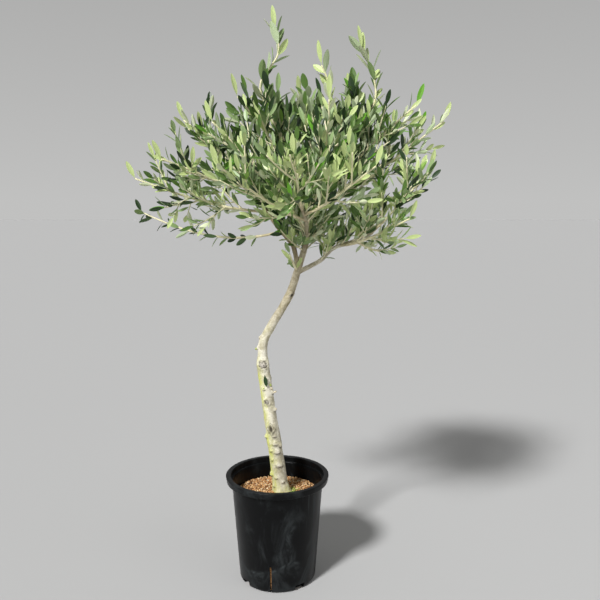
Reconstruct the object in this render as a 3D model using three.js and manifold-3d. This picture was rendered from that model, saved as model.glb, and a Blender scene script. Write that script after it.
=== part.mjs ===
// A young olive tree in a black nursery pot with drainage slits.
// Millimetres, +Z up. The origin is the centre of the pot's flat underside.
// Seen from the front, the camera looks along +Y and +X is to the right.

import * as THREE from "three";
import { mergeVertices } from "three/addons/utils/BufferGeometryUtils.js";
import Module from "manifold-3d";

const wasm = await Module();
wasm.setup();

// Pot
const POT_HEIGHT = 250;
const POT_FOOT_RADIUS = 81.5;
const POT_LOW_RADIUS = 89.5;
const POT_HIGH_RADIUS = 106;
const POT_CORNER_HEIGHT = 11;
const POT_CORNER_INSET = 3.5;
const POT_CORNER_RISE = 2.6;
const POT_WALL = 2.2;
const POT_SEGMENTS = 28;
const RIM_RADIUS = 120;
const RIM_WIDTH = 11.5;
const RIM_DROP = 14;
const RIM_DRAFT = 2;
const RIM_EDGE = 1;
const STEP_WIDTH = 4;
const STEP_DEPTH = 13;
const STEP_SLOPE = 6;
const SLIT_COUNT = 4;
const SLIT_WIDTH = 3.6;
const SLIT_TOP = 66;
const SLIT_TURN = -8.4;
const NOTCH_WIDTH = 25;
const NOTCH_HEIGHT = 13;

// Soil
const SOIL_TOP = 208;
const SOIL_EDGE_DROP = 5;
const SOIL_FLAT_RADIUS = 42;
const SOIL_SHOULDER_RADIUS = 70;
const SOIL_SHOULDER_DROP = 1;

// Clearance between neighbouring solids
const CLEARANCE = 0.3;

// Trunk: its centre line from under the soil, where it is cut flat, by way of the old
// pruning cut and the kink to the fork, its radius at a few heights, its root flare,
// and its knots
const TRUNK_LINE = [
  [12, 2, SOIL_TOP - 20], [-5, 1, 314], [-24, 0, 449], [-32, 0, 515],
  [-30, 0, 566], [-14, 2, 598], [28, 2, 670], [51, 0, 739],
];
const TRUNK_GIRTH = [
  [208, 17.2], [314, 16.6], [400, 14.4], [508, 14.2], [532, 11.1], [600, 9.8], [690, 9], [739, 7.6],
];
const TRUNK_SIDES = 12;
const TRUNK_STEPS = 20;
const FLARE_RADIUS = 5;
const FLARE_HEIGHT = 14;
const KNOT_SINK = 0.6;
const KNOTS = [
  { height: 251, facing: -67, size: 7 },
  { height: 275, facing: 18, size: 9 },
  { height: 306, facing: 21, size: 7 },
  { height: 322, facing: 53, size: 7 },
  { height: 341, facing: -85, size: 7 },
  { height: 362, facing: -7, size: 10.5 },
  { height: 406, facing: 62, size: 6 },
  { height: 426, facing: -11, size: 7 },
  { height: 447, facing: 72, size: 7 },
  { height: 513, facing: 3, size: 11.5 },
  { height: 550, facing: -85, size: 6 },
  { height: 672, facing: 32, size: 6 },
];

// Boughs: the bare foot of a shoot ends where its foliage starts
const BOUGH_SIDES = 6;
const BOUGH_STEPS = 6;
const SHOOT_FOOT_SIDES = 5;
const SHOOT_FOOT_STEPS = 4;
const SHOOT_FOOT_RADIUS = 3.2;
const SHOOT_ENTRY_RADIUS = 2.4;
const THICK_END = 0.1;
const ENTRY = 0.13;

// Foliage: three-sided stems and twigs, leaves in opposite pairs
const STEM_SIDES = 3;
const STEM_STEPS = 5;
const STEM_FOOT_RADIUS = 3.1;
const STEM_TIP_RADIUS = 2;
const TWIG_STEPS = 2;
const TWIG_INSET = 0.5;
const TWIG_FOOT_RADIUS = 1.8;
const TWIG_TIP_RADIUS = 1.6;
const TWIG_LENGTH = 104;
const TWIG_SHORTENING = 0.35;
const TWIG_SPREAD = 50;
const TWIG_ZONE = 0.8;
const TWIG_LIFT = 0.16;
const TWIG_SCATTER = 0.3;
const TWIG_RETRY_TRIM = 0.12;
const FIRST_NODE = 14;
const NODE_SPACING = 36;
const FULL_TURN = 360;
const NODE_TURN = 90;
const TURN_SCATTER = 50;
const SPREAD_SCATTER = 22;
const LEAF_LENGTH = 70;
const LEAF_WIDTH = 20;
const LEAF_THICKNESS = 1.4;
const LEAF_WIDEST = 0.52;
const LEAF_CORNERS = 3;
const CORNERED_WIDTH = Math.sqrt(3);
const CORNERED_DEPTH = 1.5;
const LEAF_SPREAD = 44;
const LEAF_SINK = 0.9;
const LEAF_ROLL = 60;
const LIGHT_SEEKING = 0.25;
const STEEP = 0.9;
const NEARLY_STRAIGHT = 0.3;
const LINE_STEPS = 8;
const HALVINGS = 20;
const TWIG_SAMPLES = 4;
const SPACE_MARGIN = 1.6;
const TIP_MARGIN = 0.5;

// Points of a leaf that have to lie in its mass's own space: shares of its length and
// of half its width
const LEAF_SAMPLES = [
  [0.25, 0], [0.25, 0.5], [0.25, -0.5], [LEAF_WIDEST, 0], [LEAF_WIDEST, 1],
  [LEAF_WIDEST, -1], [0.76, 0.5], [0.76, -0.5], [0.76, 0], [1, 0],
];

// Soundness and chance
const CLOSEST_CORNERS = 0.004;
const ATTEMPTS = 5;
const RETRY_TURN = 11;
const CHANCE_STRIDE = 7919;
const CHANCE_FACTOR = 48271;
const CHANCE_MODULUS = 2147483647;

// Main boughs: where each leaves its parent, the points it passes, its two radii
const MAIN_BOUGHS = [
  { name: "bough_middle", parent: "trunk", at: 1, radii: [7.2, 3.6],
    through: [[64, 5, 780], [71, 10, 808], [69, 10, 884], [57, 5, 955]] },
  { name: "bough_left", parent: "trunk", at: 0.985, radii: [5.6, 3.4],
    through: [[37, -5, 783], [7, -10, 820], [-30, -15, 873], [-58, -18, 902]] },
  { name: "bough_right", parent: "trunk", at: 0.97, radii: [5.2, 3.4],
    through: [[98, -5, 750], [126, -10, 777], [166, -12, 792], [214, -18, 812]] },
  { name: "bough_front", parent: "bough_middle", at: 0.12, radii: [4.6, 3.4],
    through: [[66, -40, 800], [66, -92, 838], [56, -130, 868]] },
  { name: "bough_back", parent: "bough_middle", at: 0.2, radii: [4.6, 3.4],
    through: [[72, 52, 812], [76, 100, 842], [66, 138, 874]] },
];

// Shoots: each leaves a main bough, bends by its sag (down) and sway (to the right),
// both as a share of its length, or through the points named, and ends in the leaf
// tip named. Its size scales its leaves, entry is the share of it that is bare, and
// a sparse one has no twigs.
const SHOOTS = [
  { name: "left_long", parent: "bough_left", at: 0.72, tip: [-322, -30, 967], sag: 0.08 },
  { name: "left_low", parent: "bough_left", at: 0.46, tip: [-330, 80, 886],
    sag: 0.12, sparse: true },
  { name: "left_mid", parent: "bough_left", at: 0.97, tip: [-248, -110, 1005], sag: 0.05 },
  { name: "left_high", parent: "bough_left", at: 0.84, tip: [-221, 40, 1102], sag: -0.03 },
  { name: "middle_left", parent: "bough_middle", at: 0.7, tip: [-90, -60, 1145] },
  { name: "spire_left", parent: "bough_middle", at: 0.98, tip: [-6, -10, 1293],
    through: [[-31, -10, 1125], [12, -10, 1199]] },
  { name: "top_middle", parent: "bough_middle", at: 0.88, tip: [48, 80, 1165], sway: 0.05 },
  { name: "spire_middle", parent: "bough_middle", at: 0.93, tip: [91, -20, 1220], sway: 0.17 },
  { name: "spire_right", parent: "bough_middle", at: 0.78, tip: [178, 10, 1257],
    through: [[184, 5, 1036], [222, 10, 1117]] },
  { name: "right_high", parent: "bough_middle", at: 0.6, tip: [318, -20, 1131], sag: 0.02 },
  { name: "right_far", parent: "bough_middle", at: 0.5, tip: [387, 30, 1099], sag: 0.05 },
  { name: "right_mid", parent: "bough_right", at: 0.95, tip: [332, -90, 988], sag: 0.03, sway: 0.04 },
  { name: "right_low", parent: "bough_right", at: 0.6, tip: [292, -120, 884], sag: 0.1 },
  { name: "right_hanging", parent: "bough_right", at: 0.78, tip: [272, 34, 764],
    sag: 0.08, size: 0.7, entry: 0.15 },
  { name: "front_left_high", parent: "bough_front", at: 0.55, tip: [-136, -130, 1081] },
  { name: "front_left", parent: "bough_front", at: 0.75, tip: [-110, -262, 985], sag: 0.08 },
  { name: "front_middle", parent: "bough_front", at: 0.97, tip: [40, -318, 1000], sag: 0.08 },
  { name: "front_right", parent: "bough_front", at: 0.86, tip: [205, -250, 985], sag: 0.08 },
  { name: "front_high", parent: "bough_front", at: 0.64, tip: [110, -165, 1125], sway: 0.05 },
  { name: "back_left", parent: "bough_back", at: 0.75, tip: [-140, 225, 1005], sag: 0.08 },
  { name: "back_middle", parent: "bough_back", at: 0.97, tip: [60, 322, 1010], sag: 0.08 },
  { name: "back_right", parent: "bough_back", at: 0.86, tip: [232, 245, 1000], sag: 0.08 },
  { name: "back_high_left", parent: "bough_back", at: 0.64, tip: [-30, 160, 1110] },
  { name: "back_high_right", parent: "bough_back", at: 0.5, tip: [164, 120, 1177], sway: 0.05 },
  { name: "fork_sprig", parent: "trunk", at: 0.975, tip: [22, -74, 796],
    sag: 0.05, size: 0.55, entry: 0 },
];

// Materials
const potPlastic = surface(0x17181a, 0.5);
const pottingMix = surface(0x8a5a34, 0.95);
const trunkBark = surface(0x9c9480, 0.85);
const boughBark = surface(0x8f8262, 0.8);
const foliage = surface(0x7d9162, 0.6);

function surface(color, roughness) {
  return new THREE.MeshStandardMaterial({ color, roughness, metalness: 0 });
}

// Closed geometry to solid and back
function toSolid(geometry) {
  const shape = geometry.clone();
  shape.deleteAttribute("normal");
  shape.deleteAttribute("uv");
  const merged = mergeVertices(shape);
  const vertProperties = new Float32Array(merged.attributes.position.array);
  const triVerts = new Uint32Array(wholeTriangles(merged.index.array));
  return new wasm.Manifold(new wasm.Mesh({ numProp: 3, vertProperties, triVerts }));
}

// Triangles with three different corners: a pole of a lathe has others
function wholeTriangles(index) {
  const kept = [];
  for (let i = 0; i < index.length; i += 3) {
    const [a, b, c] = index.slice(i, i + 3);
    if (a !== b && b !== c && c !== a) kept.push(a, b, c);
  }
  return kept;
}

function toGeometry(solid) {
  const { vertProperties, triVerts } = solid.getMesh();
  const geometry = new THREE.BufferGeometry();
  geometry.setAttribute("position", new THREE.Float32BufferAttribute(vertProperties, 3));
  geometry.setIndex(new THREE.Uint32BufferAttribute(triVerts, 1));
  return geometry;
}

// A named mesh whose own origin is the point where the piece joins what carries it
function piece(name, solid, material, joint) {
  const geometry = toGeometry(solid);
  geometry.translate(-joint.x, -joint.y, -joint.z);
  geometry.computeVertexNormals();
  const mesh = new THREE.Mesh(geometry, material);
  mesh.name = name;
  mesh.position.copy(joint);
  return mesh;
}

// Repeatable chance, the same on every run
function seededRandom(seed) {
  let state = seed * CHANCE_STRIDE + 1;
  return () => {
    state = (state * CHANCE_FACTOR) % CHANCE_MODULUS;
    return state / CHANCE_MODULUS;
  };
}

// A lathe profile turned about +Z
function turned(profile, segments) {
  const points = profile.map(([radius, height]) => new THREE.Vector2(radius, height));
  const geometry = new THREE.LatheGeometry(points, segments);
  geometry.rotateX(Math.PI / 2);
  return toSolid(geometry);
}

// A tapering limb: a cylinder bent along a curve, flat at both ends
function limb(curve, sides, steps, radiusAt) {
  const geometry = new THREE.CylinderGeometry(1, 1, 1, sides, steps);
  const frames = curve.computeFrenetFrames(steps, false);
  const position = geometry.attributes.position;
  for (let i = 0; i < position.count; i += 1) {
    const share = position.getY(i) + 0.5;
    const step = Math.round(share * steps);
    const radius = radiusAt(share);
    const point = curve.getPointAt(share);
    point.addScaledVector(frames.binormals[step], position.getX(i) * radius);
    point.addScaledVector(frames.normals[step], position.getZ(i) * radius);
    position.setXYZ(i, point.x, point.y, point.z);
  }
  return toSolid(geometry);
}

// The stretch of a curve between two shares of its length
function stretch(curve, from, to) {
  const points = [];
  for (let i = 0; i <= STEM_STEPS; i += 1) {
    points.push(curve.getPointAt(from + (to - from) * i / STEM_STEPS));
  }
  return new THREE.CatmullRomCurve3(points);
}

const UP = new THREE.Vector3(0, 0, 1);
const FRONT = new THREE.Vector3(0, -1, 0);
const tapered = (start, end) => (share) => start + (end - start) * share;
const vector = (point) => new THREE.Vector3(...point);

// Pot: a turned shell with a stepped rim, cut by four slits and four foot notches
function buildPot() {
  const rimBottom = POT_HEIGHT - RIM_DROP;
  const mouth = RIM_RADIUS - RIM_WIDTH;
  const stepHeight = POT_HEIGHT - STEP_DEPTH;
  const profile = [
    [0, 0],
    [POT_FOOT_RADIUS, 0],
    [POT_LOW_RADIUS - POT_CORNER_INSET, POT_CORNER_RISE],
    [POT_LOW_RADIUS, POT_CORNER_HEIGHT],
    [POT_HIGH_RADIUS, rimBottom - RIM_EDGE],
    [RIM_RADIUS - RIM_DRAFT, rimBottom],
    [RIM_RADIUS, POT_HEIGHT - RIM_EDGE],
    [RIM_RADIUS - RIM_EDGE, POT_HEIGHT],
    [mouth, POT_HEIGHT],
    [mouth - RIM_EDGE / 2, stepHeight],
    [mouth - STEP_WIDTH, stepHeight - RIM_EDGE],
    [innerRadius(stepHeight - STEP_SLOPE), stepHeight - STEP_SLOPE],
    [innerRadius(POT_CORNER_HEIGHT), POT_CORNER_HEIGHT],
    [POT_FOOT_RADIUS, POT_WALL],
    [0, POT_WALL],
  ];
  let pot = turned(profile, POT_SEGMENTS);
  for (let i = 0; i < SLIT_COUNT; i += 1) {
    const turn = SLIT_TURN + i * FULL_TURN / SLIT_COUNT;
    pot = pot.subtract(wallCutter(turn, SLIT_WIDTH, -POT_WALL, SLIT_TOP));
    const between = turn + FULL_TURN / SLIT_COUNT / 2;
    pot = pot.subtract(wallCutter(between, NOTCH_WIDTH, -POT_WALL, NOTCH_HEIGHT));
  }
  return pot;
}

// Radius of the pot's inner wall at a height
function innerRadius(height) {
  const share = (height - POT_CORNER_HEIGHT) / (POT_HEIGHT - RIM_DROP - POT_CORNER_HEIGHT);
  return POT_LOW_RADIUS + (POT_HIGH_RADIUS - POT_LOW_RADIUS) * share - POT_WALL;
}

// A block through the pot's wall, its turn measured from the front towards +X
function wallCutter(turn, width, bottom, top) {
  const inner = POT_FOOT_RADIUS - 2 * POT_WALL;
  const outer = RIM_RADIUS;
  const block = new THREE.BoxGeometry(width, outer - inner, top - bottom);
  block.translate(0, -(inner + outer) / 2, (bottom + top) / 2);
  block.rotateZ(THREE.MathUtils.degToRad(turn));
  return toSolid(block);
}

// Potting mix: fills the pot 0.3 mm clear of its facets, flat round the trunk's foot
function buildSoil() {
  const floor = POT_WALL + CLEARANCE;
  const edge = SOIL_TOP - SOIL_EDGE_DROP;
  return turned([
    [0, floor],
    [POT_FOOT_RADIUS - 2 * CLEARANCE, floor],
    [innerRadius(POT_CORNER_HEIGHT) - 2 * CLEARANCE, POT_CORNER_HEIGHT + CLEARANCE],
    [innerRadius(edge) - 2 * CLEARANCE, edge],
    [SOIL_SHOULDER_RADIUS, SOIL_TOP - SOIL_SHOULDER_DROP],
    [SOIL_FLAT_RADIUS, SOIL_TOP],
    [0, SOIL_TOP],
  ], POT_SEGMENTS);
}

// Trunk: leans up to the kink and then across to the fork, with knots fused on
function trunkRadius(height) {
  let radius = TRUNK_GIRTH[0][1];
  for (let i = 1; i < TRUNK_GIRTH.length; i += 1) {
    const [low, lowRadius] = TRUNK_GIRTH[i - 1];
    const [high, highRadius] = TRUNK_GIRTH[i];
    const share = THREE.MathUtils.clamp((height - low) / (high - low), 0, 1);
    radius += (highRadius - lowRadius) * share;
  }
  return radius + FLARE_RADIUS * Math.exp((SOIL_TOP - height) / FLARE_HEIGHT);
}

// Where along the trunk's line it reaches a height
function shareAtHeight(curve, height) {
  let low = 0;
  let high = 1;
  for (let i = 0; i < HALVINGS; i += 1) {
    const middle = (low + high) / 2;
    if (curve.getPointAt(middle).z < height) low = middle;
    else high = middle;
  }
  return low;
}

// A knot's facing is measured from the front towards +X
function knotSolid(curve, { height, facing, size }) {
  const turn = THREE.MathUtils.degToRad(facing);
  const outward = new THREE.Vector3(Math.sin(turn), -Math.cos(turn), 0);
  const centre = curve.getPointAt(shareAtHeight(curve, height));
  centre.addScaledVector(outward, trunkRadius(height) - size * KNOT_SINK);
  const knot = new THREE.IcosahedronGeometry(size);
  knot.translate(centre.x, centre.y, centre.z);
  return toSolid(knot);
}

// Limbs: the trunk, the main boughs and the bare foot of every shoot. Each is cut
// clear of the limbs before it, and starts on its parent's centre line.
const limbs = new Map();
const plant = new THREE.Group();

function addLimb(name, curve, { sides, steps, radiusAt, knots = [], cuts = [], material }) {
  let solid = limb(curve, sides, steps, radiusAt);
  for (const knot of knots) solid = solid.add(knot);
  for (const cut of cuts) solid = solid.subtract(cut);
  for (const other of limbs.values()) {
    if (boxesMeet(solid, other.swollen)) solid = solid.subtract(other.swollen);
  }
  solid = outermostPart(solid, curve.getPointAt(1));
  let swollen = limb(curve, sides, steps, (share) => radiusAt(share) + CLEARANCE);
  for (const knot of knots) swollen = swollen.add(knot);
  const line = curve.getSpacedPoints(LINE_STEPS);
  limbs.set(name, { curve, line, radius: radiusAt(THICK_END), swollen });
  plant.add(piece(name, solid, material, curve.getPointAt(0)));
}

function boxesMeet(solid, other) {
  const a = solid.boundingBox();
  const b = other.boundingBox();
  return [0, 1, 2].every((k) => a.min[k] < b.max[k] && b.min[k] < a.max[k]);
}

// Of the parts that a cut leaves, the one that holds the limb's tip
function outermostPart(solid, tip) {
  const parts = solid.decompose();
  const gap = (part) => {
    const { min, max } = part.boundingBox();
    return new THREE.Box3(vector(min), vector(max)).distanceToPoint(tip);
  };
  return parts.reduce((best, part) => (gap(part) < gap(best) ? part : best));
}

// A leaf: a three-sided lathe pointed at both ends, flattened, with its keel below
function leafSolid(root, direction, face, size) {
  const outline = [[0, 0], [1, LEAF_WIDEST], [0, 1]].map(([x, y]) => new THREE.Vector2(x, y));
  const leaf = new THREE.LatheGeometry(outline, LEAF_CORNERS);
  leaf.translate(0, 0, Math.cos(Math.PI / LEAF_CORNERS));
  leaf.scale(LEAF_WIDTH / CORNERED_WIDTH, LEAF_LENGTH, LEAF_THICKNESS / CORNERED_DEPTH);
  leaf.scale(size, size, size);
  const side = new THREE.Vector3().crossVectors(face, direction);
  const below = face.clone().negate();
  leaf.applyMatrix4(new THREE.Matrix4().makeBasis(side, direction, below).setPosition(root));
  return toSolid(leaf);
}

function leafSamples(root, direction, face, size) {
  const side = new THREE.Vector3().crossVectors(face, direction);
  return LEAF_SAMPLES.map(([along, across]) => root.clone()
    .addScaledVector(direction, along * LEAF_LENGTH * size)
    .addScaledVector(side, across * LEAF_WIDTH * size / 2));
}

// A direction that leaves a twig at a spread, turned round it, and seeks the light
function branchDirection(curve, share, turn, spread) {
  const tangent = curve.getTangentAt(share);
  const reference = Math.abs(tangent.z) < STEEP ? UP : FRONT;
  const right = new THREE.Vector3().crossVectors(tangent, reference).normalize();
  const over = new THREE.Vector3().crossVectors(right, tangent);
  const around = THREE.MathUtils.degToRad(turn);
  const away = THREE.MathUtils.degToRad(spread);
  const direction = tangent.clone().multiplyScalar(Math.cos(away));
  direction.addScaledVector(right, Math.cos(around) * Math.sin(away));
  direction.addScaledVector(over, Math.sin(around) * Math.sin(away));
  direction.z += LIGHT_SEEKING;
  return direction.normalize();
}

// The upper face of a leaf looks towards its twig's tip, or to the front where the leaf
// goes nearly straight on from the tip, rolled a little by chance
function leafFace(curve, share, direction, roll) {
  let face = squareTo(direction, curve.getTangentAt(share));
  if (face.length() < NEARLY_STRAIGHT) face = squareTo(direction, FRONT);
  return face.normalize().applyAxisAngle(direction, THREE.MathUtils.degToRad(roll));
}

// The part of an arrow that is square to a direction
function squareTo(direction, arrow) {
  return arrow.clone().addScaledVector(direction, -arrow.dot(direction));
}

// How far a point lies from a line of short straight stretches
function gapToLine(point, line) {
  let nearest = Infinity;
  const segment = new THREE.Line3();
  const foot = new THREE.Vector3();
  for (let i = 1; i < line.length; i += 1) {
    segment.set(line[i - 1], line[i]);
    segment.closestPointToPoint(point, true, foot);
    nearest = Math.min(nearest, foot.distanceTo(point));
  }
  return nearest;
}

// The box that the tips of all shoots reach, down to the trunk's fork
const crownBox = new THREE.Box3().setFromPoints(SHOOTS.map(({ tip }) => vector(tip)));
crownBox.expandByScalar(TIP_MARGIN);
crownBox.min.z = TRUNK_LINE.at(-1)[2];

// A mass's own space: no further out than its tip, nearer to its stem than to any
// other stem, and clear of limbs
function inOwnSpace(points, own, stems) {
  return points.every((point) => {
    if (point.clone().sub(own.tip).dot(own.heading) > TIP_MARGIN) return false;
    if (!crownBox.containsPoint(point)) return false;
    const ownGap = gapToLine(point, own.line);
    const clearOfStems = stems.every((other) => (
      other === own || gapToLine(point, other.line) > ownGap + SPACE_MARGIN));
    return clearOfStems && [...limbs.values()].every((other) => (
      gapToLine(point, other.line) > other.radius + SPACE_MARGIN));
  });
}

// Whether a joined solid is in one piece, with no two corners all but touching
function isSound(solid) {
  const { vertProperties } = solid.getMesh();
  const corners = [];
  for (let i = 0; i < vertProperties.length; i += 3) {
    corners.push(new THREE.Vector3().fromArray(vertProperties, i));
  }
  corners.sort((a, b) => a.x - b.x);
  const wellApart = corners.every((corner, i) => {
    for (let j = i + 1; j < corners.length; j += 1) {
      if (corners[j].x - corner.x > CLOSEST_CORNERS) return true;
      if (corners[j].distanceTo(corner) < CLOSEST_CORNERS) return false;
    }
    return true;
  });
  return wellApart && solid.decompose().length === 1;
}

function buildMass(own, stems, seed) {
  const random = seededRandom(seed);
  const scatter = (range) => (random() - 0.5) * range;
  let solid = limb(own.curve, STEM_SIDES, STEM_STEPS, tapered(STEM_FOOT_RADIUS, STEM_TIP_RADIUS));

  function join(part) {
    const joined = solid.add(part);
    const sound = isSound(joined);
    if (sound) solid = joined;
    return sound;
  }

  function addLeaf(curve, share, turn, spread) {
    for (let attempt = 0; attempt < ATTEMPTS; attempt += 1) {
      const tilt = attempt * (attempt % 2 ? RETRY_TURN : -RETRY_TURN);
      const direction = branchDirection(curve, share, turn + tilt, spread);
      if (placeLeaf(curve, share, direction, scatter(LEAF_ROLL))) return;
    }
  }

  function placeLeaf(curve, share, direction, roll) {
    const face = leafFace(curve, share, direction, roll);
    const root = curve.getPointAt(share).addScaledVector(direction, -LEAF_SINK);
    if (!inOwnSpace(leafSamples(root, direction, face, own.size), own, stems)) return false;
    return join(leafSolid(root, direction, face, own.size));
  }

  function addTwig(share, turn) {
    for (let attempt = 0; attempt < ATTEMPTS; attempt += 1) {
      const tilt = attempt * (attempt % 2 ? RETRY_TURN : -RETRY_TURN);
      if (placeTwig(share, turn + 2 * tilt, 1 - attempt * TWIG_RETRY_TRIM)) return;
    }
  }

  function placeTwig(share, turn, shortened) {
    const direction = branchDirection(own.curve, share, turn, TWIG_SPREAD);
    const trimmed = TWIG_LENGTH * own.size * shortened * (1 - TWIG_SHORTENING * share);
    const length = trimmed * (1 + scatter(TWIG_SCATTER));
    const start = own.curve.getPointAt(share).addScaledVector(direction, TWIG_INSET);
    const middle = start.clone().addScaledVector(direction, length / 2);
    const end = start.clone().addScaledVector(direction, length);
    end.z += length * TWIG_LIFT;
    const curve = new THREE.QuadraticBezierCurve3(start, middle, end);
    if (!inOwnSpace(curve.getPoints(TWIG_SAMPLES).slice(1), own, stems)) return false;
    const radius = tapered(TWIG_FOOT_RADIUS, TWIG_TIP_RADIUS);
    if (!join(limb(curve, STEM_SIDES, TWIG_STEPS, radius))) return false;
    dress(curve, false);
    return true;
  }

  function dress(curve, mayBranch) {
    const length = curve.getLength();
    const spacing = NODE_SPACING * own.size;
    const bare = own.onTrunk ? FIRST_NODE + TRUNK_GIRTH.at(-1)[1] : FIRST_NODE;
    const first = mayBranch ? bare : spacing;
    let turn = random() * FULL_TURN;
    let tally = 0;
    for (let along = first; along < length - FIRST_NODE * own.size; along += spacing) {
      const share = along / length;
      const twigSide = mayBranch && !own.sparse && share < TWIG_ZONE ? tally % 2 : -1;
      for (const side of [0, 1]) {
        const sideTurn = turn + side * FULL_TURN / 2 + scatter(TURN_SCATTER);
        const spread = LEAF_SPREAD + scatter(SPREAD_SCATTER);
        if (side === twigSide) addTwig(share, sideTurn);
        else addLeaf(curve, share, sideTurn, spread);
      }
      turn += NODE_TURN;
      tally += 1;
    }
    addLastLeaf(curve, mayBranch);
  }

  // The last leaf of the stem ends in the shoot's tip
  function addLastLeaf(curve, toTip) {
    const onward = own.tip.clone().sub(curve.getPointAt(1)).normalize();
    for (let attempt = 0; attempt < ATTEMPTS; attempt += 1) {
      const aside = branchDirection(curve, 1, random() * FULL_TURN, attempt * RETRY_TURN);
      if (placeLeaf(curve, 1, toTip ? onward : aside, scatter(LEAF_ROLL))) return;
    }
  }

  dress(own.curve, true);
  if (own.onTrunk) {
    for (const other of limbs.values()) {
      if (boxesMeet(solid, other.swollen)) solid = solid.subtract(other.swollen);
    }
    solid = outermostPart(solid, own.tip);
  }
  return solid;
}

// The whole course of a shoot, from its parent's centre line to its last leaf tip
function shootCurve({ parent, at, tip, sag = 0, sway = 0, through }) {
  const start = limbs.get(parent).curve.getPointAt(at);
  const end = vector(tip);
  if (through) return new THREE.CatmullRomCurve3([start, ...through.map(vector), end]);
  const length = start.distanceTo(end);
  const control = start.clone().add(end).multiplyScalar(0.5);
  control.x += 2 * sway * length;
  control.z -= 2 * sag * length;
  return new THREE.QuadraticBezierCurve3(start, control, end);
}

// What is cut off the trunk's foot: everything below the soil's surface
function buildGround() {
  const ground = new THREE.BoxGeometry(RIM_RADIUS, RIM_RADIUS, RIM_RADIUS);
  ground.translate(0, 0, SOIL_TOP + CLEARANCE - RIM_RADIUS / 2);
  return toSolid(ground);
}

const trunkCurve = new THREE.CatmullRomCurve3(TRUNK_LINE.map(vector));
addLimb("trunk", trunkCurve, {
  sides: TRUNK_SIDES,
  steps: TRUNK_STEPS,
  radiusAt: (share) => trunkRadius(trunkCurve.getPointAt(share).z),
  knots: KNOTS.map((knot) => knotSolid(trunkCurve, knot)),
  cuts: [buildGround()],
  material: trunkBark,
});

for (const { name, parent, at, through, radii } of MAIN_BOUGHS) {
  const start = limbs.get(parent).curve.getPointAt(at);
  addLimb(name, new THREE.CatmullRomCurve3([start, ...through.map(vector)]), {
    sides: BOUGH_SIDES, steps: BOUGH_STEPS, radiusAt: tapered(...radii), material: boughBark,
  });
}

const stems = SHOOTS.map((shoot) => {
  const curve = shootCurve(shoot);
  const length = curve.getLength();
  const entry = shoot.entry ?? ENTRY;
  if (entry > 0) {
    addLimb(`${shoot.name}_bough`, stretch(curve, 0, entry), {
      sides: SHOOT_FOOT_SIDES,
      steps: SHOOT_FOOT_STEPS,
      radiusAt: tapered(SHOOT_FOOT_RADIUS, SHOOT_ENTRY_RADIUS),
      material: boughBark,
    });
  }
  const size = shoot.size ?? 1;
  const last = 1 - (LEAF_LENGTH * size - LEAF_SINK) / length;
  const stem = stretch(curve, entry + CLEARANCE / length, last);
  const tip = curve.getPointAt(1);
  return {
    name: `${shoot.name}_foliage`,
    curve: stem,
    line: [...stem.getSpacedPoints(LINE_STEPS), tip],
    size,
    sparse: shoot.sparse ?? false,
    onTrunk: entry === 0,
    tip,
    heading: tip.clone().sub(curve.getPointAt(0)).normalize(),
  };
});

stems.forEach((own, index) => {
  plant.add(piece(own.name, buildMass(own, stems, index + 1), foliage, own.curve.getPointAt(0)));
});

const planter = new THREE.Group();
planter.add(piece("pot", buildPot(), potPlastic, new THREE.Vector3()));
planter.add(piece("soil", buildSoil(), pottingMix, new THREE.Vector3(0, 0, SOIL_TOP)));

const oliveTree = new THREE.Group();
oliveTree.add(planter, plant);

export default oliveTree;
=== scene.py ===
# A young olive tree in a black nursery pot with drainage slits.
# Metres, +Z up. The origin is the centre of the pot's flat underside. Seen from
# the front, the camera looks along +Y and +X is to the right.

import math
from itertools import combinations

import bpy
import numpy as np
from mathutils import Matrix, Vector, noise


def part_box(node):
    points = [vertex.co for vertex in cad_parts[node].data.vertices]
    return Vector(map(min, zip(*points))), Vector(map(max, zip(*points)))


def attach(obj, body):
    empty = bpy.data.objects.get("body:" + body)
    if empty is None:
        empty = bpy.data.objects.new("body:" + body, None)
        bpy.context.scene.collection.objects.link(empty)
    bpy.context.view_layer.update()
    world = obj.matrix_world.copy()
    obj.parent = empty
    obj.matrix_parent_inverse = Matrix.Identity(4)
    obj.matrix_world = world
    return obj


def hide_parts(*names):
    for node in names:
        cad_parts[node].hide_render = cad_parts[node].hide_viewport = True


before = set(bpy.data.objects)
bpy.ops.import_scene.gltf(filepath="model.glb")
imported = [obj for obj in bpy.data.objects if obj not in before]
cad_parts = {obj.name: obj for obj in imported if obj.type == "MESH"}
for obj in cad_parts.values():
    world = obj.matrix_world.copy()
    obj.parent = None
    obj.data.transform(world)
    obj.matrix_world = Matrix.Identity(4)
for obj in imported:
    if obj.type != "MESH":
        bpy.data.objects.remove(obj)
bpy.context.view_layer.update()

# Camera
CAMERA_PLACE = (0.053, -1.566, 0.884)
CAMERA_PITCH = math.radians(8.13)
CAMERA_LENS = 42
CAMERA_SENSOR = 36

# Floor, sky and light, so that the floor meets the sky in one tone
FLOOR_SIZE = 60
FLOOR_DROP = 0.0004
FLOOR_COLOR = (0.492, 0.492, 0.490)
SKY_COLOR = (1.0, 1.0, 0.99)
HORIZON_GLOW = 0.53
ZENITH_GLOW = 0.13
KEY_POWER = 3.8
KEY_ANGLE = 9
KEY_PLACE = (-1.3, -1.9, 2.6)
FILL_POWER = 7
FILL_PLACE = (1.9, -1.3, 1.5)
FILL_SIZE = 1.5

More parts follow.
